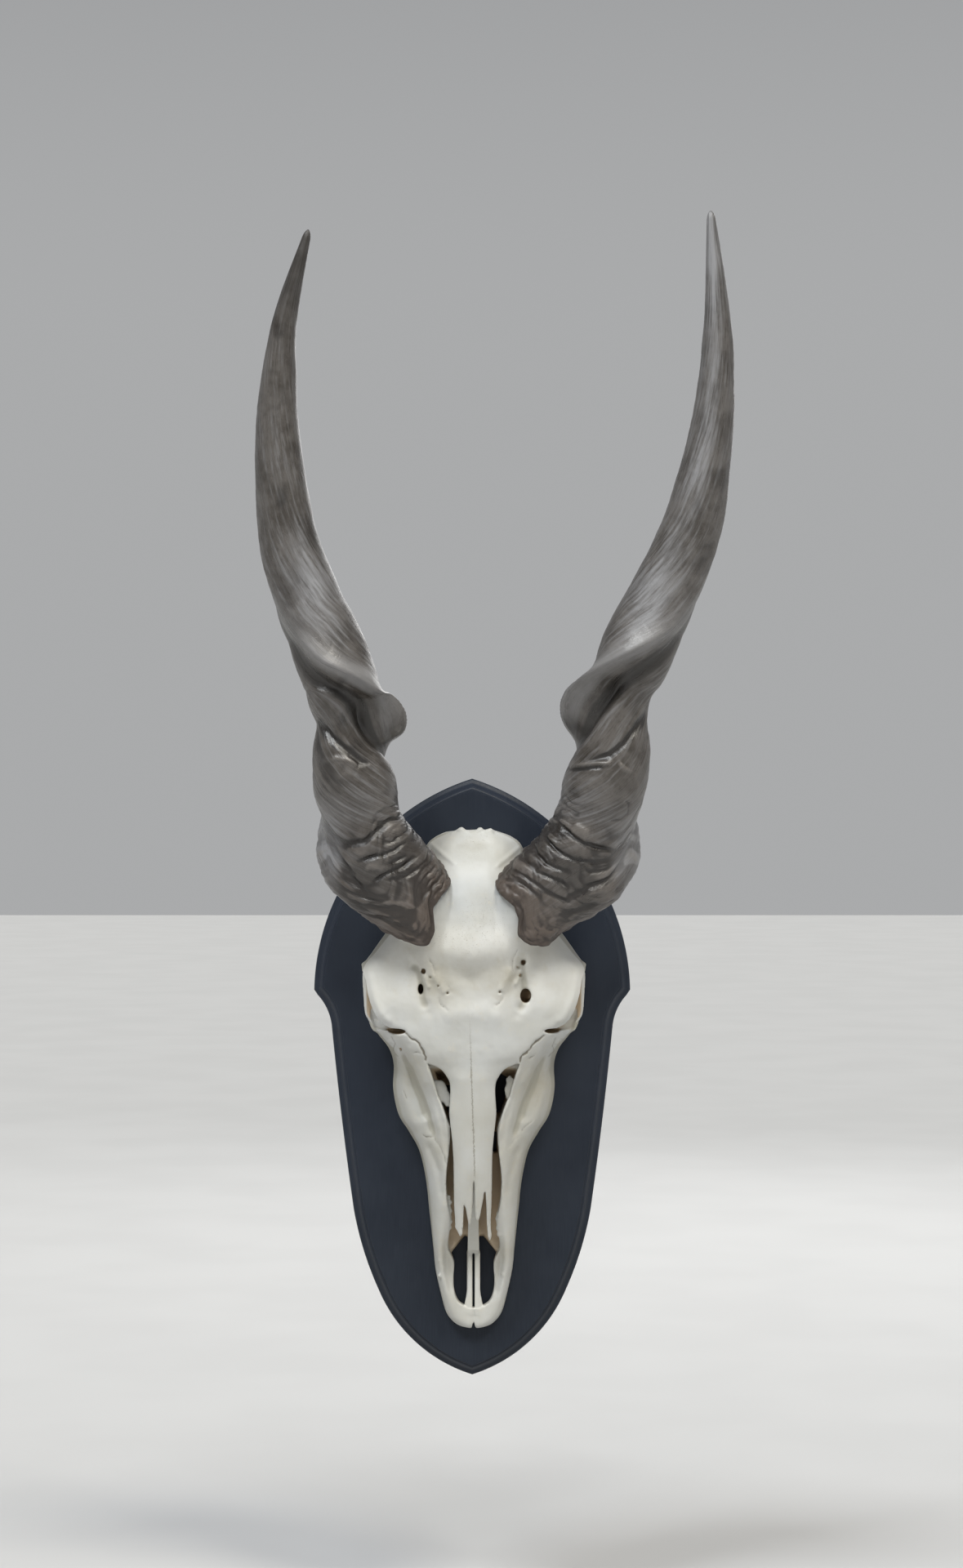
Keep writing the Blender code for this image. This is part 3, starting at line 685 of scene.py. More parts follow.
def horn_faces(rings, side):
    """Quads between the rings, and a fan of triangles that closes each end on the two last points."""
    first, last = np.arange(HORN_SIDES), np.arange((rings - 1) * HORN_SIDES, rings * HORN_SIDES)
    root, tip = rings * HORN_SIDES, rings * HORN_SIDES + 1
    faces = ring_faces(rings, HORN_SIDES).tolist()
    faces += np.stack((np.roll(first, -1), first, np.full_like(first, root)), 1).tolist()
    faces += np.stack((last, np.roll(last, -1), np.full_like(last, tip)), 1).tolist()
    return faces if side < 0 else [face[::-1] for face in faces]


def make_horn(name, node, stations, rim, creases, side, seed):
    """The sheath: a round body on a smooth path, with a keel that winds round it and a lip on the brow.

    The radius at a turn is the body's, plus the keel's height times the keel's shape, plus the relief and
    the listed creases. The first rings go round the lip and up inside the sheath, where they close on the
    centre line.
    """
    fine, path, length, forward, outward = horn_frame(stations)
    turn = np.linspace(0, 2 * np.pi, HORN_SIDES, endpoint=False)[None, :]
    start = rim_run(rim, turn)
    run, inset, narrow, level = horn_rings(start, length[-1])

    def along_horn(values):
        """Values of the fine rows, read at each point's run."""
        return np.interp(run, length, values)

    body, keel, keel_height = (along_horn(fine[:, k]) for k in (3, 4, 5))
    keel = np.radians(keel)
    twist = turn - keel
    low_keel = np.exp(KEEL_SHARPNESS * (np.cos(twist) - 1))
    share = ease(run, *KEEL_CHANGE)
    bump = (1 - share) * low_keel + share * keel_shape(np.angle(np.exp(1j * twist)))
    ways = ((along_horn(forward[:, i]), along_horn(outward[:, i])) for i in range(3))
    outwards = [np.cos(turn) * front + np.sin(turn) * side_way for front, side_way in ways]
    centre = [along_horn(path[:, i]) for i in range(3)]
    radius = body + keel_height * bump
    at = [c + radius * way for c, way in zip(centre, outwards)]
    relief = sheath_relief(seed, level, turn, body, keel)
    relief += creases_height(creases, side * at[0], at[1], at[2], outwards[1])
    tip_place = np.clip((run - length[-1] + TIP_LENGTH) / TIP_LENGTH, 0, 1)
    radius = (radius + relief - inset) * narrow * np.sqrt(1 - 0.97 * tip_place**2)
    x, height, z = (c + radius * way for c, way in zip(centre, outwards))
    points = np.stack((side * x, -(BASE + height), z), -1)
    ends = points[[0, -1]].mean(1)
    horn = mesh_object(name, np.vstack((points.reshape(-1, 3), ends)), horn_faces(len(x), side))
    values = {
        "relief": relief,
        "run": run,
        "crest": bump * keel_height / FULL_KEEL,
        "near_rim": np.exp(-np.maximum(run - start, 0) / RIM_STAIN),
        # pale: painted highlight above zero and painted shade below it.
        "pale": horn_painted_light(run, outwards, side),
    }
    for label, value in values.items():
        attribute(horn, label, np.append(value, (value[0, 0], value[-1, -1])))
    grain = np.stack((GRAIN_RADIUS * np.cos(twist), GRAIN_RADIUS * np.sin(twist), run), -1).reshape(-1, 3)
    attribute(horn, "grain", np.vstack((grain, grain[0], grain[-1])))
    horn.data.materials.append(keratin())
    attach(horn, "root")
    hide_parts(node)


def keratin():
    """Horn: greyish brown, browner at the base, fibres along the twist, and painted highlights and shade."""
    horn = bpy.data.materials.get("horn_keratin")
    if horn:
        return horn
    sheath = Shader("horn_keratin")
    here = sheath.place()
    grain = sheath.read("grain", "Vector")
    finishes = ("relief", "run", "crest", "near_rim", "pale")
    relief, run, crest, rim, pale = (sheath.read(name) for name in finishes)
    fibre = sheath.noise(sheath.stretch(grain, (1.0, 1.0, 0.06)), 1.6, 4.0, 0.6)
    streak = sheath.noise(sheath.stretch(grain, (0.35, 0.35, 0.035)), 1.0, 4.0, 0.6)
    patch = sheath.noise(here, 0.045, 4.0, 0.6)
    speck = sheath.noise(here, 0.5, 5.0, 0.7)
    tone = sheath.mix(sheath.ramp(patch, 0.36, 0.64), (0.050, 0.042, 0.034), (0.115, 0.104, 0.094))
    tone = sheath.layer(tone, (0.17, 0.165, 0.165), streak, 0.48, 0.68, 0.65)
    tone = sheath.layer(tone, (0.030, 0.024, 0.019), fibre, 0.52, 0.3, 0.6)
    tone = sheath.layer(tone, (0.19, 0.165, 0.15), run, 150, 70, 0.2)
    tone = sheath.layer(tone, (0.17, 0.128, 0.10), run, 60, 25, 0.5)
    # Painted highlight: the horn is lightened where pale is above zero, broken up by the streaks.
    painted_highlight = sheath.math("MULTIPLY", pale, sheath.ramp(streak, 0.3, 0.7, 0.55, 1.3))
    tone = sheath.layer(tone, (0.30, 0.30, 0.31), painted_highlight, 0.0, 1.0)
    # Painted shade: the horn is darkened where pale is below zero.
    tone = sheath.layer(tone, (0.022, 0.019, 0.016), pale, 0.0, -1.0, 0.8)
    # Painted shade in the hollows of the folds, lessened where the painted highlight is strong.
    hollows, shade_kept = sheath.ramp(relief, -0.05, -0.7, 0.0, 0.9), sheath.ramp(pale, 0.5, 0.0, 0.5, 1.0)
    tone = sheath.mix(sheath.math("MULTIPLY", hollows, shade_kept), tone, (0.014, 0.011, 0.009))
    tone = sheath.layer(tone, (0.22, 0.20, 0.18), relief, 0.3, 1.3, 0.4)
    # Painted highlight along the keel's crest, above the base.
    ridge = sheath.math("MULTIPLY", sheath.ramp(crest, 0.12, 0.6, 0.0, 0.6), sheath.ramp(run, 175, 215))
    tone = sheath.mix(ridge, tone, (0.28, 0.275, 0.275))
    # Painted shade in the channel under the keel.
    tone = sheath.layer(tone, (0.020, 0.017, 0.014), crest, -0.02, -0.16, 0.85)
    tone = sheath.mix(sheath.math("MULTIPLY", rim, 0.95, clamp=True), tone, (0.050, 0.034, 0.025))
    tone = sheath.layer(tone, (0.22, 0.20, 0.18), speck, 0.64, 0.74, 0.4)
    gloss = sheath.math("MULTIPLY_ADD", rim, 0.25, sheath.ramp(streak, 0.3, 0.7, 0.24, 0.46))
    normal = sheath.bump(speck, 0.35, 0.4, sheath.bump(fibre, 0.5, 0.4))
    return sheath.finish(tone, gloss, normal, Specular_IOR_Level=0.7)


# Skull.

# Cross-sections from the tip of the jaw up to the crest. Each is z, then the arch's points from the middle
# outwards, as half width and height: middle, inner, shoulder, flank and widest place.
HEAD = (
    (-210, (0, 8), (3, 8), (5, 7), (7.5, 5.5), (9, 4)),
    (-206, (0, 10), (6, 11), (10, 10.5), (14.5, 8), (17, 5)),
    (-197, (0, 11), (10, 12.5), (17, 13), (21, 10.5), (24, 6)),
    (-181, (0, 13), (14, 14), (21.5, 17), (26, 13), (28.5, 8)),
    (-160, (0, 14), (18, 16.5), (26, 22), (31, 15.5), (33, 9)),
    (-140, (0, 20), (20, 25), (28, 27.5), (32.5, 20), (35, 10)),
    (-112, (0, 30), (21, 36.5), (28, 34.5), (34, 25), (38, 11)),
    (-84, (0, 40), (21.5, 45), (28.5, 42), (36, 29.5), (41, 13)),
    (-60, (0, 48), (21, 51), (29, 47), (40, 32), (46.5, 14)),
    (-44, (0, 52), (22, 54), (31, 50), (45, 34), (55, 15)),
    (-29, (0, 56), (26, 57), (34, 53), (51, 36), (64, 15)),
    (-8, (0, 68), (29, 60), (38, 56), (56, 38), (68.4, 16)),
    (13, (0, 75), (31, 69), (44, 62), (59, 42), (68, 18)),
    (27, (0, 78), (34, 75), (50, 68), (63, 48), (72, 22)),
    (40, (0, 80), (38, 77), (58, 72), (73, 52), (81.5, 26)),
    (54, (0, 82), (42, 78), (64, 74), (80, 66), (89, 29)),
    (68, (0, 83), (44, 80), (66, 76), (84, 69), (91.3, 31)),
    (84, (0, 87), (42, 82), (66, 76), (87.5, 68), (92, 34)),
    (97, (0, 93), (38, 86), (62, 77), (86, 67), (92.4, 42)),
    (110, (0, 98), (36, 90), (56, 80), (75, 68), (84, 45)),
    (124, (0, 99), (32, 91), (48, 82), (63, 68), (74, 44)),
    (142, (0, 97.5), (26, 90), (38, 82), (50, 64), (60, 40)),
    (162, (0, 90.5), (18, 87), (30, 78), (43, 56), (50, 34)),
    (182, (0, 78), (14, 76.5), (26, 68), (38, 48), (45, 30)),
    (199, (0, 60), (14, 59.5), (25, 54), (34, 42), (39, 30)),
    (209, (0, 54), (9, 54), (16, 50), (21, 42), (25, 32)),
)
# Slot between the cheek bones: z and half width.
NOSE_SLOT = (
    (-192, 6), (-187, 13), (-178, 16.5), (-167, 17.2), (-153, 16.8), (-140, 21.5), (-126, 20.5),
    (-112, 19.8), (-98, 22), (-84, 23), (-72, 22.4), (-62, 21.2), (-50, 19.9), (-39, 19.4), (-33, 20.3),
    (-28, 22.2), (-21, 24.5), (-14, 27.2), (-8, 29.8), (-2, 31.2), (6, 33.6), (13, 35.8), (19, 37.8),
)
# z where the slot ends in the brow.
SLOT_TOP = 18.6
# Nose bones: z, half width, height on the middle line, thickness.
NOSE_BONES = (
    (-133, 17, 44, 2.5), (-118, 15, 48, 3), (-98, 15.7, 53, 3.5), (-74, 15.9, 59, 4), (-60, 16.2, 62, 4),
    (-48, 16.9, 64.5, 4.5), (-38, 17.9, 66.5, 4.5), (-30, 18.8, 68, 5), (-22, 19.4, 69.5, 5),
    (-12, 18.8, 71, 5), (-3, 18.5, 72.5, 5.5), (3, 19.2, 73.7, 6), (7, 21.2, 74.4, 6), (10.5, 23.4, 75, 6),
    (13.5, 26.2, 75.6, 7), (16, 30, 76.1, 8), (18.5, 36, 76.6, 9), (24, 38, 77.2, 16), (31, 38, 77.6, 24),
)
# Place across of the nose bones' middle.
NOSE_SHIFT = -0.8
# Line between the nose bones: z and place across.
NOSE_SEAM = ((-75, 0.2), (-60, 0.3), (-30, -0.7), (-6, -1.5), (30, -2.6))
# Free end of the nose bones, as the photograph shows it.
PRONGS = (
    (550, 1500), (557, 1504), (560, 1508), (563, 1515), (566, 1513), (567, 1500), (568, 1474), (570, 1478),
    (573, 1495), (575, 1502), (577, 1494), (579, 1470), (579.8, 1433), (580.6, 1470), (582, 1490),
    (584, 1497), (587, 1492), (591, 1470), (593.5, 1457), (595, 1470), (596, 1500), (598, 1519),
    (600, 1521), (603, 1512), (610, 1500),
)
# Reach and steps of the grid, across, forwards and up.
GRID_SPAN = ((-96.0, 96.1), (-2.7, 106.0), (-214.0, 216.0))
VOXEL = (1.0, 1.3, 1.0)
# About how many triangles the thinned skin has, and the distance within which its points are merged first.
SKULL_FACES, WELD_REACH = 190000, 0.02
# z where the tip of the jaw ends.
JAW_TIP = -210.0
# Floor of the hollow beside the nose bones: z, and height there. Its mouth is open below MOUTH_TOP, and a
# floor at THROUGH lies behind the board's front, so that the hollow goes right through.
HOLLOW_FLOOR = ((-152, -45, -30, 12), (11, 13, 10, 9))
MOUTH_TOP = -134.0
THROUGH = -9.0
# Centre and radii of the orbit on the right. The cut that shows its lower rim ends at RIM_CUT_LOW.
ORBIT_CENTRE, ORBIT_RADII = (104.0, 44.0, 70.0), (58.0, 22.0, 26.0)
RIM_CUT_LOW = 45.5
# Part of the grid in which the orbit on the right is cut: its middle and its reach.
ORBIT_PART, ORBIT_PART_REACH = (72, 50, 67), (30, 48, 62)
# Height at which the free ends of the nose bones are seen, and the z where their roots end in the brow.
PRONG_HEIGHT, NOSE_ROOT = 45, 30
# Blade between the nostrils: z, then the height of its upper or lower edge, or its half width. Its ends
# along z, and its middle across.
BLADE_TOP = ((-146, -143, -120, -60, 18), (13, 17, 27, 42, 60))
BLADE_LOW = ((-152, -142, -60, 18), (5, 5, 8, 18))
BLADE_HALF = ((-146, -143, -118, -60, 18), (4.9, 4.9, 4.4, 3.6, 5))
BLADE_ENDS, BLADE_MIDDLE = (-146, 18), -0.4
# Two bars of the palate and the notch in the jaw's tip: middle across. Of a bar: distance from that middle,
# half width, height, half thickness, and middle and half length along z.
PALATE_MIDDLE = -0.3
BAR_AWAY, BAR_HALF, BAR_HEIGHT, BAR_THICK = 3.25, 2.3, 8, 3.4
BAR_Z, BAR_REACH = -171.5, 26.5
# Notch: z of its upper end, half width there, how much wider it grows, and its floor, which falls.
NOTCH_TOP, NOTCH_HALF, NOTCH_WIDER, NOTCH_FLOOR = -186, 0.15, 1.35, 6
# Horn cores: runs along the horn's path, how far inside the sheath they lie, and the height of their cut.
CORE_RUNS = (-24.0, -10.0, 8.0, 24.0)
CORE_INSET, CORE_TOP = 6.0, 101.5
# Lean of the seam that the material draws between the nose bones: across for each millimetre down.
NOSE_SEAM_LEAN = 0.0322


def seen(px, py, height):
    """Place across from the skull's middle line, and z, of a pixel of the photograph at a height."""
    span = PIXEL_MM * (1 - height / CAMERA_DISTANCE)
    across = CAMERA_AT[0] / MM + (px - PHOTO_SIZE[0] / 2) * span
    return across - SKULL_X, CAMERA_AT[2] / MM + (PHOTO_SIZE[1] / 2 - py) * span


def polyline_distance(u, z, spots):
    """Distance from places to a line through spots, signed by the side, and the share of the line passed."""
    best = np.full(np.broadcast(u, z).shape, 1e9)
    signed, share = best.copy(), np.zeros_like(best)
    spots = np.array(spots, float)
    lengths = np.linalg.norm(np.diff(spots, axis=0), axis=1)
    passed = np.concatenate(((0,), np.cumsum(lengths))) / lengths.sum()
    for k, ((u0, z0), (u1, z1)) in enumerate(zip(spots, spots[1:])):
        du, dz = u1 - u0, z1 - z0
        t = np.clip(((u - u0) * du + (z - z0) * dz) / (du * du + dz * dz), 0, 1)
        away = np.hypot(u - u0 - t * du, z - z0 - t * dz)
        nearer = away < best
        best = np.where(nearer, away, best)
        side = np.sign((u - u0) * dz - (z - z0) * du)
        signed = np.where(nearer, side * away, signed)
        share = np.where(nearer, passed[k] + t * (passed[k + 1] - passed[k]), share)
    return signed, share


def join(a, b, reach):
    """Smooth union of two solid fields, rounded over the reach."""
    blend = np.maximum(reach - np.abs(a - b), 0) / reach
    return np.minimum(a, b) - blend * blend * reach / 4


def keep(a, b, reach):
    """Smooth overlap of two solid fields, rounded over the reach."""
    return -join(-a, -b, reach)


def head_height(u, z):
    """Height of the skull's front on a grid of places across and z, and its widest place at each z."""
    rows = np.array([[row[0]] + [value for point in row[1:] for value in point] for row in HEAD], float)
    fine = smooth_through(rows, 900)
    at_z = [np.interp(z, fine[:, 0], fine[:, k]) for k in range(1, 11)]
    knots = np.array(at_z).reshape(5, 2, -1)
    top = np.empty((len(u), len(z)))
    for k in range(len(z)):
        half, height = knots[:, 0, k], knots[:, 1, k]
        mirrored = np.vstack(((-half[1], height[1]), np.stack((half, height), 1)))
        arch = smooth_through(mirrored, 161)[20:]
        top[:, k] = np.interp(np.abs(u), np.maximum.accumulate(arch[:, 0]), arch[:, 1])
    return top, np.array(at_z[8]), np.array(at_z[9])


# Ridges and hollows of the bone: height where they lie, spots in the photograph, height added, width.
RIDGES = (
    (50, ((491, 1284), (496, 1298), (502, 1310), (510, 1329), (518, 1348), (526, 1372),
        (534, 1400)), -5.4, 3.6),
    (50, ((669, 1288), (664, 1300), (658, 1312), (651, 1330), (642, 1350), (634, 1374),
        (627, 1400)), -4.6, 3.6),
    (50, ((494, 1300), (503, 1325), (512, 1350), (522, 1376)), -4.8, 8.0),
    (50, ((667, 1302), (658, 1327), (648, 1352), (638, 1378)), -4.2, 8.0),
    (58, ((521, 1299), (528, 1322), (537, 1346), (546, 1372), (549, 1400)), 2.2, 2.4),
    (58, ((639, 1300), (631, 1322), (625, 1342), (615, 1368), (610, 1402)), 2.2, 2.4),
    (62, ((497, 1277), (505, 1294), (514, 1314), (523, 1332)), 2.4, 4.0),
    (62, ((664, 1279), (655, 1296), (647, 1315), (638, 1333)), 2.4, 4.0),
    (40, ((500, 1300), (493, 1330), (500, 1362), (512, 1388)), 2.0, 5.0),
    (40, ((660, 1300), (667, 1330), (660, 1362), (646, 1388)), 2.0, 5.0),
    (42, ((522, 1398), (529, 1415), (537, 1434), (542, 1469)), -2.4, 3.2),
    (42, ((638, 1400), (631, 1418), (625, 1438), (620, 1469)), -1.8, 3.2),
    (40, ((548, 1405), (549, 1440), (551, 1470)), 1.4, 2.6),
    (40, ((611, 1405), (611, 1440), (610, 1470)), 1.4, 2.6),
    (80, ((503, 1178), (512, 1190), (516, 1205), (517, 1222), (523, 1238)), -3.4, 4.2),
    (80, ((642, 1166), (639, 1185), (642, 1205), (642, 1226), (634, 1242)), -3.4, 4.4),
    (80, ((519, 1193), (521, 1203), (526, 1211)), 2.0, 1.8),
    (80, ((638, 1186), (635, 1198), (630, 1207)), 2.0, 1.8),
    (80, ((528, 1190), (536, 1202), (546, 1218)), 1.6, 3.4),
    (80, ((628, 1183), (621, 1198), (612, 1216)), 1.6, 3.4),
    (84, ((528, 1170), (552, 1186), (578, 1194), (604, 1184), (630, 1166)), -2.6, 9.0),
    (76, ((540, 1250), (562, 1238), (596, 1238), (618, 1252)), 1.6, 8.0),
    (66, ((452, 1188), (458, 1222), (470, 1246), (484, 1254)), 1.6, 3.6),
    (66, ((708, 1186), (702, 1222), (690, 1246), (676, 1254)), 1.6, 3.6),
    (50, ((524, 1030), (540, 1044), (560, 1058)), 1.6, 2.0),
    (50, ((642, 1033), (626, 1046), (606, 1061)), 1.6, 2.0),
    (55, ((552, 1034), (578, 1042), (606, 1035)), -1.6, 7.0),
    (20, ((548, 1512), (546, 1535), (548, 1562), (554, 1588)), -2.2, 3.0),
    (20, ((611, 1515), (613, 1540), (611, 1566), (605, 1590)), -2.2, 3.0),
)
# Seams, cracks and small grooves: height where they lie, spots, depth, width.
CRACKS = (
    (76, ((576.5, 1226), (576, 1262), (576.5, 1290)), 0.3, 0.7),
    (72, ((495, 1264), (500, 1268), (504, 1272), (509, 1274), (513, 1277), (516, 1282), (518, 1287),
        (521, 1294), (523, 1302)), 1.5, 0.8),
    (72, ((668, 1267), (660, 1273), (655, 1275), (649, 1283), (645, 1289), (640, 1291), (637, 1296),
        (636, 1303)), 1.5, 0.8),
    (64, ((506, 1288), (511, 1288), (516, 1290)), 0.9, 0.8),
    (64, ((655, 1292), (650, 1293), (646, 1296)), 0.9, 0.8),
    (50, ((479, 1266), (484, 1277), (481, 1289), (488, 1296)), 0.8, 0.9),
    (50, ((681, 1268), (677, 1279), (679, 1290), (671, 1297)), 0.8, 0.9),
    (45, ((516, 1391), (521, 1394), (525, 1392), (531, 1392)), 1.0, 0.8),
    (45, ((531, 1391), (538, 1402), (544, 1416), (549, 1427)), 0.8, 0.8),
    (45, ((637, 1386), (645, 1379), (653, 1372)), 0.9, 0.8),
    (45, ((621, 1405), (630, 1397), (637, 1390)), 0.6, 0.8),
    (40, ((494, 1334), (499, 1346)), 0.9, 0.8),
    (40, ((660, 1342), (656, 1356)), 0.6, 0.8),
    (78, ((536, 1222), (541, 1232), (548, 1236)), 0.8, 0.8),
    (78, ((616, 1218), (612, 1228), (606, 1231)), 0.8, 0.8),
    (78, ((548, 1206), (552, 1216)), 0.5, 0.8),
    (78, ((524, 1170), (530, 1180), (533, 1194)), 0.8, 0.9),
    (78, ((634, 1160), (629, 1172), (627, 1190)), 0.8, 0.9),
    (20, ((533, 1556), (540, 1552), (546, 1556)), 0.6, 0.8),
)
# Knobs and lumps that stand off the surface: spot, height of the lump's centre, radius.
LUMPS = (
    ((565, 1018), 50, 3.2), ((572, 1021), 50, 2.6), ((588, 1018), 50, 3.0), ((600, 1020), 49, 3.0),
    ((556, 1022), 48, 2.4), ((477.5, 1273), 50, 3.2), ((487, 1271), 58, 3.4), ((494, 1270), 61, 3.2),
    ((500, 1276), 62, 2.8), ((508, 1284), 62, 2.2), ((680, 1274), 50, 3.2), ((671, 1272), 58, 3.4),
    ((663, 1273), 60, 3.0), ((655, 1280), 61, 2.4), ((549.5, 1466), 35, 1.8), ((550.5, 1472), 34, 2.1),
    ((549.5, 1478), 33, 1.7), ((550.5, 1483), 32, 2.2), ((550, 1490), 31, 1.9), ((551, 1496), 30, 2.0),
    ((550.5, 1503), 29, 1.7), ((610.5, 1486), 33, 1.8), ((609.5, 1492), 32, 2.2), ((610.5, 1498), 31, 2.0),
    ((609.5, 1504), 30, 1.9), ((610.5, 1511), 29, 1.7), ((539, 1543), 21, 1.7), ((541, 1552), 20, 1.5),
    ((538, 1562), 19, 1.4), ((618, 1548), 20, 1.5), ((616, 1560), 19, 1.3),
)
# Small holes: height where they open, spot, radii across and up, depth.
HOLES = (
    (76, (515, 1211), 2.3, 4.4, 34), (74, (643.5, 1219), 4.5, 6.0, 36), (80, (518.5, 1189), 1.9, 2.3, 8),
    (80, (527, 1196), 1.2, 1.2, 3), (80, (640.5, 1178), 2.0, 2.2, 8), (80, (634, 1184), 1.4, 1.0, 3),
    (80, (637, 1194), 1.2, 1.5, 4), (62, (490, 1286), 1.3, 1.3, 4), (54, (683, 1277), 1.5, 2.4, 7),
    (66, (486, 1262.5), 7.4, 2.3, 26), (66, (676, 1262), 6.2, 1.9, 26), (80, (536.6, 1206.6), 0.9, 0.9, 3),
    (80, (548, 1215.7), 1.0, 1.2, 3), (80, (612, 1214), 1.0, 1.0, 3),
)
# Edge of the brow, outside which the orbit's lower rim is seen: half width, z.
BROW_EDGE = (
    (93, 96), (90.5, 91), (88.6, 86), (87.4, 77), (85.3, 69), (82.4, 61), (78.6, 54.5), (73.6, 50),
    (68.5, 47.6), (61, 47), (56, 45),
)
# Height down to which the brow is cut back there.
ORBIT_FLOOR = 24.0
# Brownish and greyish places, and the height at which they are seen: spot, reach, strength.
STAIN_HEIGHT = 75
STAINS = (
    ((534, 1200), 16, 0.75), ((626, 1196), 16, 0.75), ((580, 1190), 14, 0.35), ((500, 1163), 14, 0.35),
    ((660, 1163), 14, 0.35), ((502, 1318), 16, 0.5), ((660, 1330), 20, 0.65), ((636, 1420), 18, 0.35),
    ((535, 1415), 14, 0.3), ((545, 1540), 12, 0.4), ((615, 1545), 12, 0.4), ((455, 1300), 14, 0.2),
    ((540, 1052), 12, 0.2), ((624, 1055), 12, 0.3),
)
# Places with fine pores, and the height at which they are seen: spot, reach, strength.
PORE_HEIGHT = 90
PORES = (
    ((602, 1130), 17, 1.0), ((585, 1118), 14, 1.0), ((570, 1150), 12, 1.0), ((540, 1146), 10, 1.0),
    ((582, 1040), 16, 1.0),
)
# Reach, in grid steps, of the blur that the surface is compared with, to find low places for painted shade.
BLUR_REACH = 7
# Upper edge of the crest, with its knobs: place across, z.
CREST_EDGE = (
    (-60, 178), (-45, 191), (-37.2, 201), (-31.8, 205), (-23.7, 208), (-16.2, 209), (-10.2, 212.2),
    (-7, 209.6), (2, 210), (5.4, 212.2), (8, 209.8), (10.1, 210), (14.2, 211.2), (17, 209.4), (21.6, 208),
    (30.4, 205), (41.2, 199.7), (50, 188), (60, 178),
)
# Where the hollow beside the nose bones goes right through to the board: height, spots round the gap, and
# how softly its edge falls.
GAPS = (
    (12, ((541, 1330), (552, 1330), (552, 1382), (548, 1376), (543, 1360)), 0.8),
    (12, ((612, 1313), (620, 1319), (622, 1335), (621, 1350), (615, 1363), (606, 1363), (605, 1330)), 1.2),
    (12, ((603, 1386), (608.5, 1386), (608.5, 1410), (603, 1412)), 0.5),
)
# Thin sheets of bone that stand in the slot: half their thickness, and then the height, the lean up the slot
# and the spots round each.
FLAKE_HALF = 1.3
FLAKES = (
    (54, 0.15, ((532, 1322), (541, 1322), (545, 1326), (549, 1336), (552, 1342), (552, 1355),
        (546.4, 1355.6), (543, 1350.4), (537, 1348))),
    (55, 0.15, ((619, 1321), (624, 1316), (630, 1322), (628, 1338), (625, 1346.5), (620.6, 1347),
        (619, 1342), (617.3, 1334), (620, 1326))),
)


def lines_height(lines, u, z, ends=0.15):
    """Height that the listed lines add on a grid: each a bell across its line, fading out at both ends."""
    total = np.zeros(np.broadcast(u, z).shape)
    for height, spots, depth, width in lines:
        away, share = polyline_distance(u, z, [seen(px, py, height) for px, py in spots])
        fade = ease(share, 0.0, ends) * (1 - ease(share, 1 - ends, 1.0))
        total += depth * hump(away, width) * (0.3 + 0.7 * fade)
    return total


def inside_outline(u, z, spots):
    """Distance outwards from a closed outline whose corners are listed clockwise as the viewer sees them."""
    away = np.abs(polyline_distance(u, z, list(spots) + [spots[0]])[0])
    turns = np.zeros(away.shape, bool)
    for (u0, z0), (u1, z1) in zip(spots, list(spots[1:]) + [spots[0]]):
        crosses = ((z0 > z) != (z1 > z)) & (u < (u1 - u0) * (z - z0) / (z1 - z0 + 1e-9) + u0)
        turns ^= crosses
    return np.where(turns, -away, away)


class Bone:
    """A solid as numbers on a grid of places across, heights and z, below zero inside the bone."""

    def __init__(self):
        self.axes = tuple(np.arange(*span, step, dtype=np.float32) for span, step in zip(GRID_SPAN, VOXEL))
        u, h, z = self.axes
        self.u, self.h, self.z = u[:, None, None], h[None, :, None], z[None, None, :]
        self.uu, self.zz = np.meshgrid(u, z, indexing="ij")
        self.field = None

    def over(self, surface):
        """Height over a surface, divided by the surface's steepness."""
        du, dz = np.gradient(surface, VOXEL[0], VOXEL[2])
        return ((self.h - surface[:, None, :]) / np.sqrt(1 + du**2 + dz**2)[:, None, :]).astype(np.float32)

    def past_edge(self, spots):
        """Distance up past an edge that is listed as places across and z, measured square to the edge."""
        spots = np.array(spots)
        edge = np.interp(self.axes[0], spots[:, 0], spots[:, 1])
        slope = np.sqrt(1 + np.gradient(edge, VOXEL[0]) ** 2)
        return (self.z - edge[:, None, None]) / slope[:, None, None]

    def block(self, centre, reach):
        """The part of the grid within a reach of a place, and its coordinates."""
        parts = []
        for axis, middle, half in zip(self.axes, centre, reach):
            parts.append(slice(*np.searchsorted(axis, (middle - half, middle + half))))
        u, h, z = (axis[part] for axis, part in zip(self.axes, parts))
        return tuple(parts), u[:, None, None], h[None, :, None], z[None, None, :]

    def add(self, shape, reach):
        """Joins a shape to the bone."""
        self.field = join(self.field, shape.astype(np.float32), reach)

    def limit(self, shape, reach):
        """Keeps only the bone that is inside a shape."""
        self.field = keep(self.field, shape.astype(np.float32), reach)


def head_surface(bone):
    """Height of the head's front with ridges and cracks, the cracks alone, and its widest places."""
    uu, zz = bone.uu, bone.zz
    top, widest, wide_height = head_height(bone.axes[0], bone.axes[2])
    bent_u = uu + 0.9 * noise(3, zz / 2.4, uu / 8)
    bent_z = zz + 0.9 * noise(4, uu / 2.4, zz / 8)
    cracks = lines_height(CRACKS, bent_u, bent_z, 0.08)
    top = top + lines_height(RIDGES, uu, zz) - cracks
    top += 0.55 * layered(21, 2, uu / 26, zz / 30) + 0.16 * layered(25, 2, uu / 5, zz / 6)
    return top, cracks, widest, wide_height


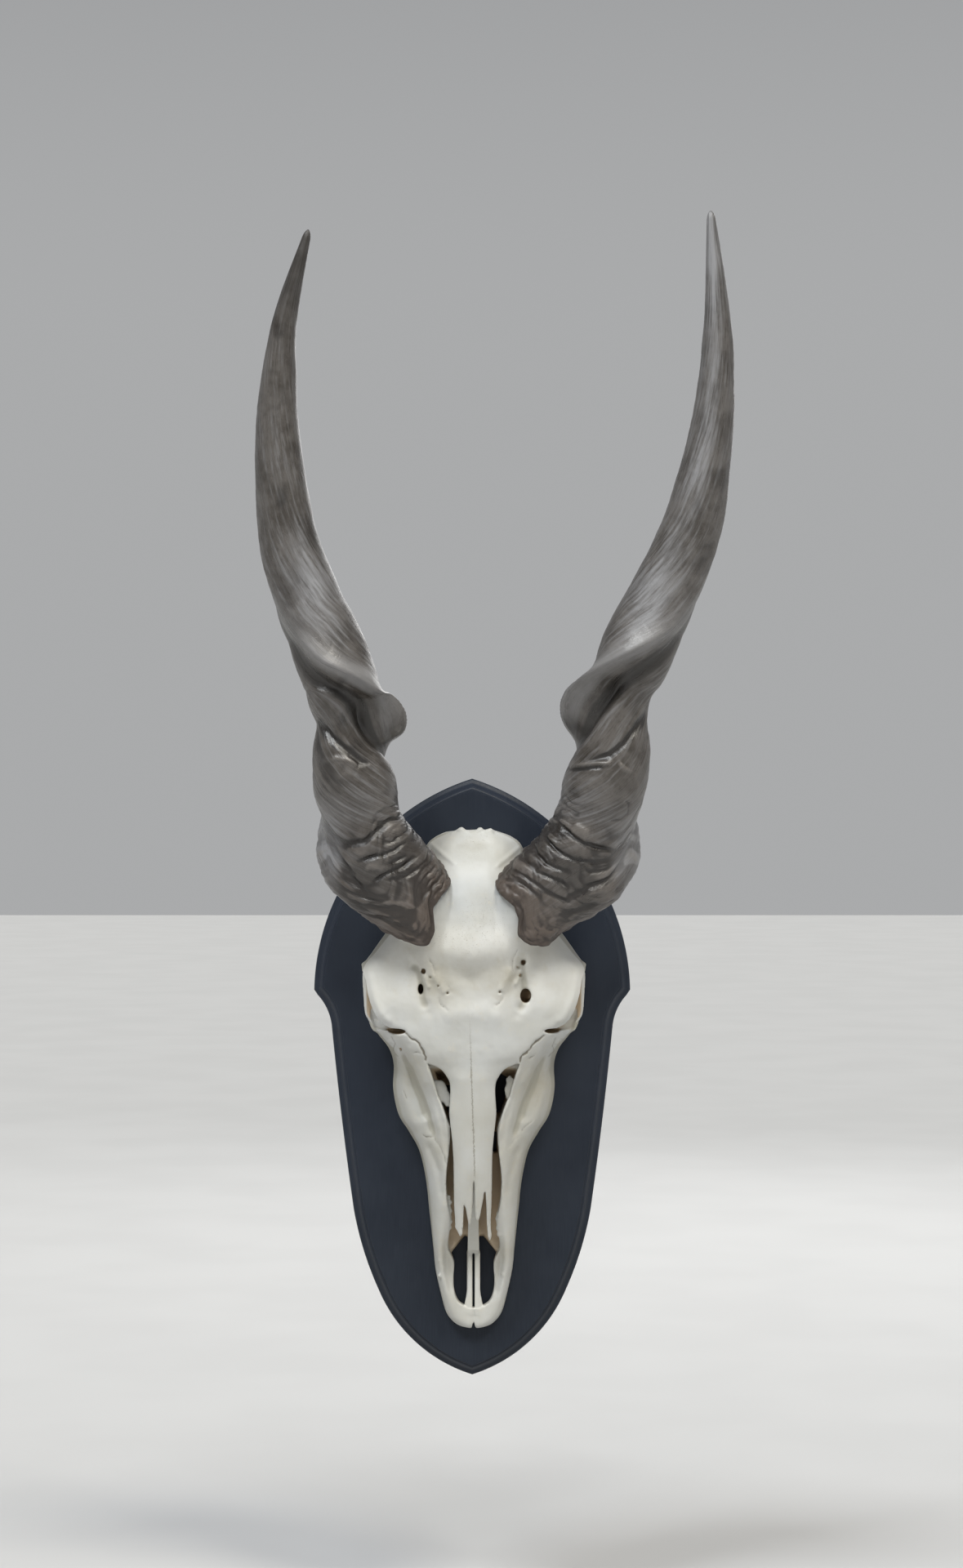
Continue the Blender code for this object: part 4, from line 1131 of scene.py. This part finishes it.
def head_form(bone, top, widest, wide_height):
    """The space under the surface, inside the sides, the crest's edge and the jaw's tip."""
    side = widest * (0.97 + 0.03 * np.minimum(bone.h[0] / wide_height, 1))
    beyond = np.abs(bone.uu) - widest
    arch = np.where(beyond > 0, wide_height - 6 * beyond, top)
    bone.field = keep(bone.over(arch), (np.abs(bone.u) - side[None]).astype(np.float32), 3.0)
    bone.limit(bone.past_edge(CREST_EDGE), 1.5)
    bone.limit(JAW_TIP - bone.z, 2.0)


def nose_hollow(bone):
    """Takes away the hollow beside the nose bones, down to its floor, and returns its half width along z."""
    uu, zz, z = bone.uu, bone.zz, bone.axes[2]
    slot = smooth_through(NOSE_SLOT, 300)
    half = np.interp(z, slot[:, 0], slot[:, 1])
    half = np.where((z < slot[0, 0]) | (z > SLOT_TOP), -6.0, half).astype(np.float32)
    floor = np.interp(zz, *HOLLOW_FLOOR) + 1.2 * layered(41, 2, uu / 9, zz / 14) + 52 * ease(zz, -3, 16)
    mouth = zz - (MOUTH_TOP - 1.25 * np.maximum(np.abs(uu) - 8, 0))
    floor = np.where(mouth > 0, floor - 20 * np.exp(-np.maximum(mouth, 0) / 1.2), THROUGH)
    for height, spots, reach in GAPS:
        gap = ease(inside_outline(uu, zz, [seen(px, py, height) for px, py in spots]), -reach, reach)
        floor = floor * gap + THROUGH * (1 - gap)
    # On the left, a ledge of bone narrows the slot's upper end below the roof.
    ledge = 2.8 * ease(zz, -16, -8)[:, None, :] * ease(55 - bone.h, 0, 3) * (bone.u < 0)
    bone.limit(np.minimum(half - np.abs(bone.u) - ledge, bone.h - floor[:, None, :]), 1.2)
    return half


def socket_reach(u, height, z):
    """Distance from the centre of the orbit on that side, as a share of the orbit's radii."""
    (cu, ch, cz), (ru, rh, rz) = ORBIT_CENTRE, ORBIT_RADII
    return np.sqrt(((np.abs(u) - cu) / ru) ** 2 + ((height - ch) / rh) ** 2 + ((z - cz) / rz) ** 2)


def orbits(bone, widest):
    """Hollows out both orbits with a raised rim, and cuts the brow back to show the rim from the front."""
    for mirror in (-1, 1):
        middle = np.multiply(ORBIT_PART, (mirror, 1, 1))
        parts, u, h, z = bone.block(middle, ORBIT_PART_REACH)
        r = socket_reach(u, h, z)
        raised = bone.field[parts] - 2.2 * hump(r - 1.13, 0.10) * ease(np.abs(u), 60, 80)
        hollow = keep(raised, (1 - r) * 20, 2.0)
        outside = polyline_distance(mirror * u[:, 0], z[0], BROW_EDGE)[0][:, None, :]
        rim = 5.0 * hump(np.abs(u) - widest[parts[2]] + 1.6, 1.5) + 14 * ease(-z, -52, -40)
        rim = np.maximum(outside, ORBIT_FLOOR + rim - h)
        bone.field[parts] = keep(hollow, -np.maximum(rim, RIM_CUT_LOW - z), 0.8)


def holes_and_lumps(bone, top):
    """Bores oval holes straight back from the surface, and sets small balls on it."""
    across_axis, _, z_axis = bone.axes
    for height, spot, across, up, depth in HOLES:
        hu, hz = seen(*spot, height)
        surface = float(top[np.argmin(abs(across_axis - hu)), np.argmin(abs(z_axis - hz))])
        parts, u, h, z = bone.block((hu, surface, hz), (across + 4, depth + 8, up + 4))
        r = np.sqrt(((u - hu) / across) ** 2 + ((z - hz) / up) ** 2)
        solid = np.minimum((1 - r) * min(across, up) + 0 * h, h - surface + depth)
        bone.field[parts] = keep(bone.field[parts], solid, 0.8)
    for spot, height, radius in LUMPS:
        lu, lz = seen(*spot, height)
        parts, u, h, z = bone.block((lu, height, lz), (radius + 4,) * 3)
        ball = np.sqrt((u - lu) ** 2 + (h - height) ** 2 + (z - lz) ** 2) - radius
        bone.field[parts] = join(bone.field[parts], ball, 2.2)


def nose_bones(bone, top):
    """The two nose bones: a roof with a seam and free ends, that runs into the brow.

    The roof falls from the middle line by a power of the share of the half width. Towards its root it turns
    into the head's own surface.
    """
    uu, zz, z = bone.uu, bone.zz, bone.axes[2]
    rows = smooth_through(NOSE_BONES, 300)
    half, ridge, thick = (np.interp(z, rows[:, 0], rows[:, k]) for k in (1, 2, 3))
    across = (uu - NOSE_SHIFT) / np.maximum(half, 1)
    seam = np.array(NOSE_SEAM)
    seam = hump(uu - np.interp(zz, seam[:, 0], seam[:, 1]), 0.9)
    roof = ridge - 5.5 * np.abs(across) ** 2.4 - 0.6 * seam * ease(-zz, -30, -10)
    roof += 0.25 * layered(51, 2, uu / 9, zz / 22)
    roof += (top - roof) * ease(zz, 5, 18)
    nose = keep(bone.over(roof), (np.abs(bone.u - NOSE_SHIFT) - half).astype(np.float32), 1.8)
    nose = np.maximum(nose, -bone.over(roof - thick))
    nose = keep(nose, -bone.past_edge([seen(px, py, PRONG_HEIGHT) for px, py in PRONGS]), 0.8)
    bone.add(np.maximum(nose, bone.z - NOSE_ROOT), 2.0 - 1.9 * ease(bone.z, 8, 17))


def blade_and_bars(bone):
    """The blade between the nostrils, the two bars of the palate, and the notch in the jaw's tip."""
    u, h, z = bone.u, bone.h, bone.z
    blade = np.maximum(h - np.interp(z, *BLADE_TOP), np.interp(z, *BLADE_LOW) - h)
    blade = np.maximum(np.abs(u - BLADE_MIDDLE) - np.interp(z, *BLADE_HALF), blade)
    bone.add(np.maximum(blade, np.maximum(BLADE_ENDS[0] - z, z - BLADE_ENDS[1])), 1.0)
    away = np.abs(u - PALATE_MIDDLE)
    spread = 3.0 * ease(-z, 176, 198)
    bars = np.abs(away - BAR_AWAY - spread / 2) - BAR_HALF - spread / 2
    bars = np.maximum(bars, np.abs(h - BAR_HEIGHT) - BAR_THICK)
    bone.add(np.maximum(bars, np.abs(z - BAR_Z) - BAR_REACH), 1.2)
    notch = np.maximum(away - NOTCH_HALF - NOTCH_WIDER * ease(-z, 203, 210), z - NOTCH_TOP)
    bone.limit(-np.maximum(notch, NOTCH_FLOOR - h - 9 * ease(-z, 196, 204)), 0.8)


def flake_outlines():
    """For each thin flake: its height, its lean, its outline and the middle of its outline."""
    for height, lean, spots in FLAKES:
        outline = [seen(px, py, height) for px, py in spots]
        yield height, lean, outline, np.mean(outline, 0)


def flakes(bone):
    """Thin sheets of bone inside their outlines, leaning up the slot."""
    for height, lean, outline, middle in flake_outlines():
        parts, u, h, z = bone.block((middle[0], height, middle[1]), (16, 12, 22))
        sheet = inside_outline(u[:, 0], z[0], outline)[:, None, :]
        sheet = np.maximum(sheet, np.abs(h - height - lean * (z - middle[1])) - FLAKE_HALF)
        bone.field[parts] = join(bone.field[parts], sheet, 0.8)


def horn_cores(bone):
    """A chain of tapering round rods along the start of each horn's path, cut off inside the grid."""
    for stations, mirror in ((LEFT_HORN, -1), (RIGHT_HORN, 1)):
        fine, path, length, _, _ = horn_frame(stations)
        runs = np.array(CORE_RUNS)
        places = np.array([np.interp(np.maximum(runs, 0), length, path[:, i]) for i in range(3)]).T
        backwards = (path[6] - path[0]) / np.linalg.norm(path[6] - path[0])
        places += backwards * np.minimum(runs, 0)[:, None]
        radii = np.interp(np.maximum(runs, 0), length, fine[:, 3]) - CORE_INSET
        places[:, 0] = mirror * places[:, 0] - SKULL_X
        parts, u, h, z = bone.block(places.mean(0), np.ptp(places, axis=0) / 2 + 36)
        core = np.full(bone.field[parts].shape, 99.0, np.float32)
        for a, b, ra, rb in zip(places, places[1:], radii, radii[1:]):
            du, dh, dz = step = b - a
            t = np.clip(((u - a[0]) * du + (h - a[1]) * dh + (z - a[2]) * dz) / (step @ step), 0, 1)
            away = np.sqrt((u - a[0] - t * du) ** 2 + (h - a[1] - t * dh) ** 2 + (z - a[2] - t * dz) ** 2)
            core = np.minimum(core, away - ra - t * (rb - ra))
        core = keep(core, h + 0 * core - CORE_TOP, 2.0)
        bone.field[parts] = join(bone.field[parts], core, 4.0)


def nearness(uu, zz, spots, height, lengthwise=1.0):
    """The sum of a bell round each listed spot, given as its place, reach and strength."""
    total = 0.0
    for spot, reach, strength in spots:
        su, sz = seen(*spot, height)
        total = total + strength * hump(np.hypot(uu - su, (zz - sz) * lengthwise), reach)
    return total


def skull_shape():
    """The bone's grid with its field, and maps over the grid's u and z for its finish.

    The head is the space under a surface of heights, inside its sides. The hollow beside the nose, the
    orbits, the slits and the holes are taken away, and the nose bones, the blade between the nostrils, the
    two bars of the palate, the lumps and the horn cores are added. Each is a smooth function, and a rounded
    smallest or largest joins them.
    """
    bone = Bone()
    uu, zz = bone.uu, bone.zz
    top, cracks, widest, wide_height = head_surface(bone)
    head_form(bone, top, widest, wide_height)
    slot = nose_hollow(bone)
    orbits(bone, widest)
    holes_and_lumps(bone, top)
    nose_bones(bone, top)
    blade_and_bars(bone)
    flakes(bone)
    horn_cores(bone)
    # The flat back, which lies on the board.
    bone.limit(-(bone.h + 0 * bone.u), 0.01)
    maps = {
        "cracks": cracks,
        "pores": np.minimum(nearness(uu, zz, PORES, PORE_HEIGHT), 1),
        "top": top,
        "slot": slot + 0 * uu,
        # Brown stains round the listed spots, and painted shade that darkens the lower face.
        "stain_and_shade": 0.2 * ease(-zz, -70, 60) + nearness(uu, zz, STAINS, STAIN_HEIGHT, 0.8),
        # Painted shade: darker on the lower face, and on the crown between the horns, which faces up into the
        # lamps.
        "grey": ease(85 - zz, 0, 40) + ease(zz, 122, 145) + hump(zz - 158, 16),
    }
    return bone, maps


def read_map(grid, axes, u, z):
    """Values of a map of u and z at places between its points."""
    place_u = np.clip((u - axes[0][0]) / VOXEL[0], 0, len(axes[0]) - 1.001)
    place_z = np.clip((z - axes[2][0]) / VOXEL[2], 0, len(axes[2]) - 1.001)
    i, j = place_u.astype(int), place_z.astype(int)
    s, t = place_u - i, place_z - j
    low = grid[i, j] * (1 - s) + grid[i + 1, j] * s
    high = grid[i, j + 1] * (1 - s) + grid[i + 1, j + 1] * s
    return low * (1 - t) + high * t


def blurred(grid, reach):
    """A map with each value replaced by the mean of a square round it, twice over."""
    width = 2 * reach + 1
    for axis in (0, 1, 0, 1):
        padded = np.pad(grid, [(reach + 1, reach) if k == axis else (0, 0) for k in (0, 1)], "edge")
        total = np.cumsum(padded, axis)
        ends = np.arange(width, total.shape[axis])
        grid = (np.take(total, ends, axis) - np.take(total, ends - width, axis)) / width
    return grid


def depth_inside(u, height, z, top, slot):
    """How far into the slot, a socket or a hole the bone lies, from 0 outside to 1, and near 0 on flakes.

    It marks brown dried skin in the slot, and painted shade further in, in the orbits and in the small holes.
    """
    deep = ease(slot + 0.9 - np.abs(u), 0.0, 1.6) * ease(top - height, 4, 17)
    # Painted shade in the orbit, under the brow's edge.
    socket = ease(1.04 - socket_reach(u, height, z), 0.0, 0.02) * ease(90.8 - np.abs(u), 0, 2.0)
    deep = np.maximum(deep, socket * (0.75 + 0.25 * ease(z, 50, 68)))
    for flake_height, lean, outline, middle in flake_outlines():
        leaf = np.abs(height - flake_height - lean * (z - middle[1])) < 2.6
        deep = np.where(leaf & (inside_outline(u, z, outline) < 0.6), 0.05, deep)
    # Painted shade in the small holes.
    for hole_height, spot, across, up, _ in HOLES:
        hu, hz = seen(*spot, hole_height)
        r = np.sqrt(((u - hu) / (across + 0.8)) ** 2 + ((z - hz) / (up + 0.8)) ** 2)
        deep = np.maximum(deep, ease(1.25 - r, 0.0, 0.3) * ease(top - height, 0.8, 4.5))
    return deep


def bone_finish(u, height, z, axes, maps):
    """How far into a hollow, how cracked, how porous and how much lower than its surroundings the bone is at
    each place, with its stains and where painted shade darkens it.
    """
    here = {name: read_map(grid, axes, u, z) for name, grid in maps.items()}
    recess_shade = read_map(blurred(maps["top"], BLUR_REACH) - maps["top"], axes, u, z)
    on_top = ease(height - here["top"], -4, -1)
    return {
        "deep": depth_inside(u, height, z, here["top"], here["slot"]),
        "cracks": here["cracks"] * on_top,
        "pores": here["pores"] * on_top,
        "stain_and_shade": here["stain_and_shade"],
        "grey": here["grey"],
        "recess_shade": np.clip(recess_shade, -3, 4) * on_top,
    }


# Corners of a cell of the grid, and its edges as pairs of corners.
CELL_CORNERS = np.array(list(np.ndindex(2, 2, 2)))
CELL_EDGES = [
    (a, b) for a in range(8) for b in range(a + 1, 8) if np.abs(CELL_CORNERS[a] - CELL_CORNERS[b]).sum() == 1
]


def skin(field, axes):
    """The zero surface of a field: a point in each cell it passes, a quad round each edge it crosses."""
    inside = field < 0
    sizes = np.array(field.shape) - 1
    p, q, r = sizes
    count = sum(inside[a:a + p, b:b + q, c:c + r].astype(np.int8) for a, b, c in CELL_CORNERS)
    cells = np.argwhere((count > 0) & (count < 8))
    number = np.full(sizes, -1, np.int32)
    number[tuple(cells.T)] = np.arange(len(cells))
    corner = [field[tuple((cells + c).T)] for c in CELL_CORNERS]
    total, crossings = np.zeros((len(cells), 3)), np.zeros(len(cells))
    for a, b in CELL_EDGES:
        crossed = (corner[a] < 0) != (corner[b] < 0)
        gap = np.where(crossed, corner[a] - corner[b], 1.0)
        t = np.where(crossed, corner[a] / gap, 0.0)[:, None]
        total += np.where(crossed[:, None], CELL_CORNERS[a] + t * (CELL_CORNERS[b] - CELL_CORNERS[a]), 0.0)
        crossings += crossed
    local = cells + total / crossings[:, None]
    points = np.stack([axis[0] + local[:, k] * (axis[1] - axis[0]) for k, axis in enumerate(axes)], 1)
    quads = []
    for axis in range(3):
        one = np.zeros(3, int)
        one[axis] = 1
        b, c = np.eye(3, dtype=int)[[(axis + 1) % 3, (axis + 2) % 3]]
        lead = inside[tuple(slice(0, n - d) for n, d in zip(field.shape, one))]
        follow = inside[tuple(slice(d, n) for n, d in zip(field.shape, one))]
        for leaving in (True, False):
            edges = np.argwhere((lead & ~follow) if leaving else (~lead & follow))
            edges = edges[(edges[:, (axis + 1) % 3] > 0) & (edges[:, (axis + 2) % 3] > 0)]
            ring = [edges, edges - b, edges - b - c, edges - c]
            corners = np.stack([number[tuple(np.minimum(place, sizes - 1).T)] for place in ring], 1)
            quads.append(corners if leaving else corners[:, ::-1])
    return points, np.concatenate(quads)


def make_skull():
    """The skin of the skull's shape, thinned out where it is flat, with its finish kept at each point."""
    bone, maps = skull_shape()
    points, quads = skin(bone.field, bone.axes)
    u, height, z = points.T
    placed = np.stack((u + SKULL_X, -(BASE + np.maximum(height, 0)), z), 1)
    skull = mesh_object("eland_skull", placed, quads[:, ::-1].tolist())
    skull.modifiers.new("weld", "WELD").merge_threshold = WELD_REACH * MM
    skull.modifiers.new("thin", "DECIMATE").ratio = min(1.0, SKULL_FACES / (2 * len(quads)))
    settled(skull)
    skull.data.shade_smooth()
    x, y, z = points_of(skull).T
    for name, values in bone_finish(x - SKULL_X, -y - BASE, z, bone.axes, maps).items():
        attribute(skull, name, values)
    skull.data.materials.append(bleached_bone())
    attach(skull, "root")
    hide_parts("skull")


def bleached_bone():
    """Bleached bone: ivory with faint clouds and stains, brown dried skin in the slot, dirt in cracks and
    pores.

    Painted shade darkens recesses, the orbits, the small holes and the slot furthest in, and the lower face
    and the crown.
    """
    ivory = Shader("bleached_bone")
    here = ivory.place()
    finishes = ("deep", "cracks", "pores", "recess_shade", "stain_and_shade", "grey")
    deep, cracks, pores, recess_shade, stain_and_shade, grey = (ivory.read(name) for name in finishes)
    cloud = ivory.noise(here, 0.025, 4.0, 0.6)
    blot = ivory.noise(here, 0.11, 4.0, 0.6)
    grain = ivory.noise(here, 0.8, 4.0, 0.6)
    pit = ivory.noise(here, 1.1, 3.0, 0.6)
    tone = ivory.mix(ivory.ramp(cloud, 0.3, 0.7), (0.69, 0.68, 0.625), (0.755, 0.755, 0.725))
    # Painted shade: greyer, darker bone on the lower face and on the crown.
    tone = ivory.mix(grey, tone, (0.79, 0.80, 0.81), "MULTIPLY")
    tone = ivory.mix(ivory.ramp(grey, 1.1, 1.9), tone, (0.85, 0.86, 0.87), "MULTIPLY")
    tone = ivory.layer(tone, (0.66, 0.62, 0.52), blot, 0.55, 0.75, 0.35)
    # Brown stains, and painted shade towards the lower face.
    uneven = ivory.math("MULTIPLY", stain_and_shade, ivory.ramp(blot, 0.25, 0.75, 0.75, 1.2), clamp=True)
    tone = ivory.mix(uneven, tone, (0.46, 0.43, 0.345))
    # Painted shade in recesses: the bone darkened where it lies lower than its surroundings.
    tone = ivory.layer(tone, (0.38, 0.365, 0.30), recess_shade, 0.2, 2.0, 0.75)
    tone = ivory.layer(tone, (0.56, 0.52, 0.43), grain, 0.6, 0.8, 0.2)
    pitted = ivory.math("MULTIPLY", pores, ivory.ramp(pit, 0.60, 0.68))
    tone = ivory.mix(ivory.math("MULTIPLY", pitted, 0.6), tone, (0.34, 0.31, 0.25))
    tone = ivory.layer(tone, (0.16, 0.135, 0.095), cracks, 0.35, 1.0, 0.85)
    axes = ivory.axes(here)
    across = ivory.math("MULTIPLY_ADD", axes["Z"], NOSE_SEAM_LEAN, axes["X"])
    off = ivory.math("ABSOLUTE", ivory.math("ADD", across, ivory.ramp(grain, 0.3, 0.7, -0.5, 0.5)))
    seam = ivory.math("MULTIPLY", ivory.ramp(off, 0.75, 0.2), ivory.ramp(axes["Z"], 66, 5, 0.0, 0.62))
    seam = ivory.math("MULTIPLY", seam, ivory.ramp(axes["Z"], -78, -72))
    tone = ivory.mix(seam, tone, (0.20, 0.175, 0.13))
    # Brown dried skin in the slot, and painted shade in the orbits and small holes.
    tone = ivory.layer(tone, (0.48, 0.385, 0.27), deep, 0.1, 0.8)
    # Painted shade: darker still furthest into the slot.
    tone = ivory.layer(tone, (0.36, 0.265, 0.165), deep, 0.8, 1.0, 0.6)
    normal = ivory.bump(grain, 0.15, 0.3)
    normal = ivory.bump(pitted, 0.5, -0.5, normal)
    return ivory.finish(tone, ivory.ramp(blot, 0.3, 0.7, 0.46, 0.6), normal)


def make_hardware():
    """The CAD's own screws and hanger plate, in zinc-plated steel."""
    steel = Shader("zinc_plate")
    brushed = steel.noise(steel.place((1.0, 1.0, 0.08)), 3.0, 3.0)
    tone = steel.mix(steel.ramp(brushed, 0.3, 0.7), (0.50, 0.50, 0.49), (0.62, 0.62, 0.60))
    gloss, relief = steel.ramp(brushed, 0.3, 0.7, 0.28, 0.42), steel.bump(brushed, 0.2, 0.05)
    finish = steel.finish(tone, gloss, relief, Metallic=1.0)
    for name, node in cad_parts.items():
        if "screw" in name or "plate" in name:
            node.data.materials.clear()
            node.data.materials.append(finish)


make_camera()
make_floor()
make_room()
make_lamps()
make_board()
make_horn("left_horn_sheath", "horn_left", LEFT_HORN, LEFT_RIM, LEFT_CREASES, -1, 11)
make_horn("right_horn_sheath", "horn_right", RIGHT_HORN, RIGHT_RIM, RIGHT_CREASES, 1, 71)
make_skull()
make_hardware()
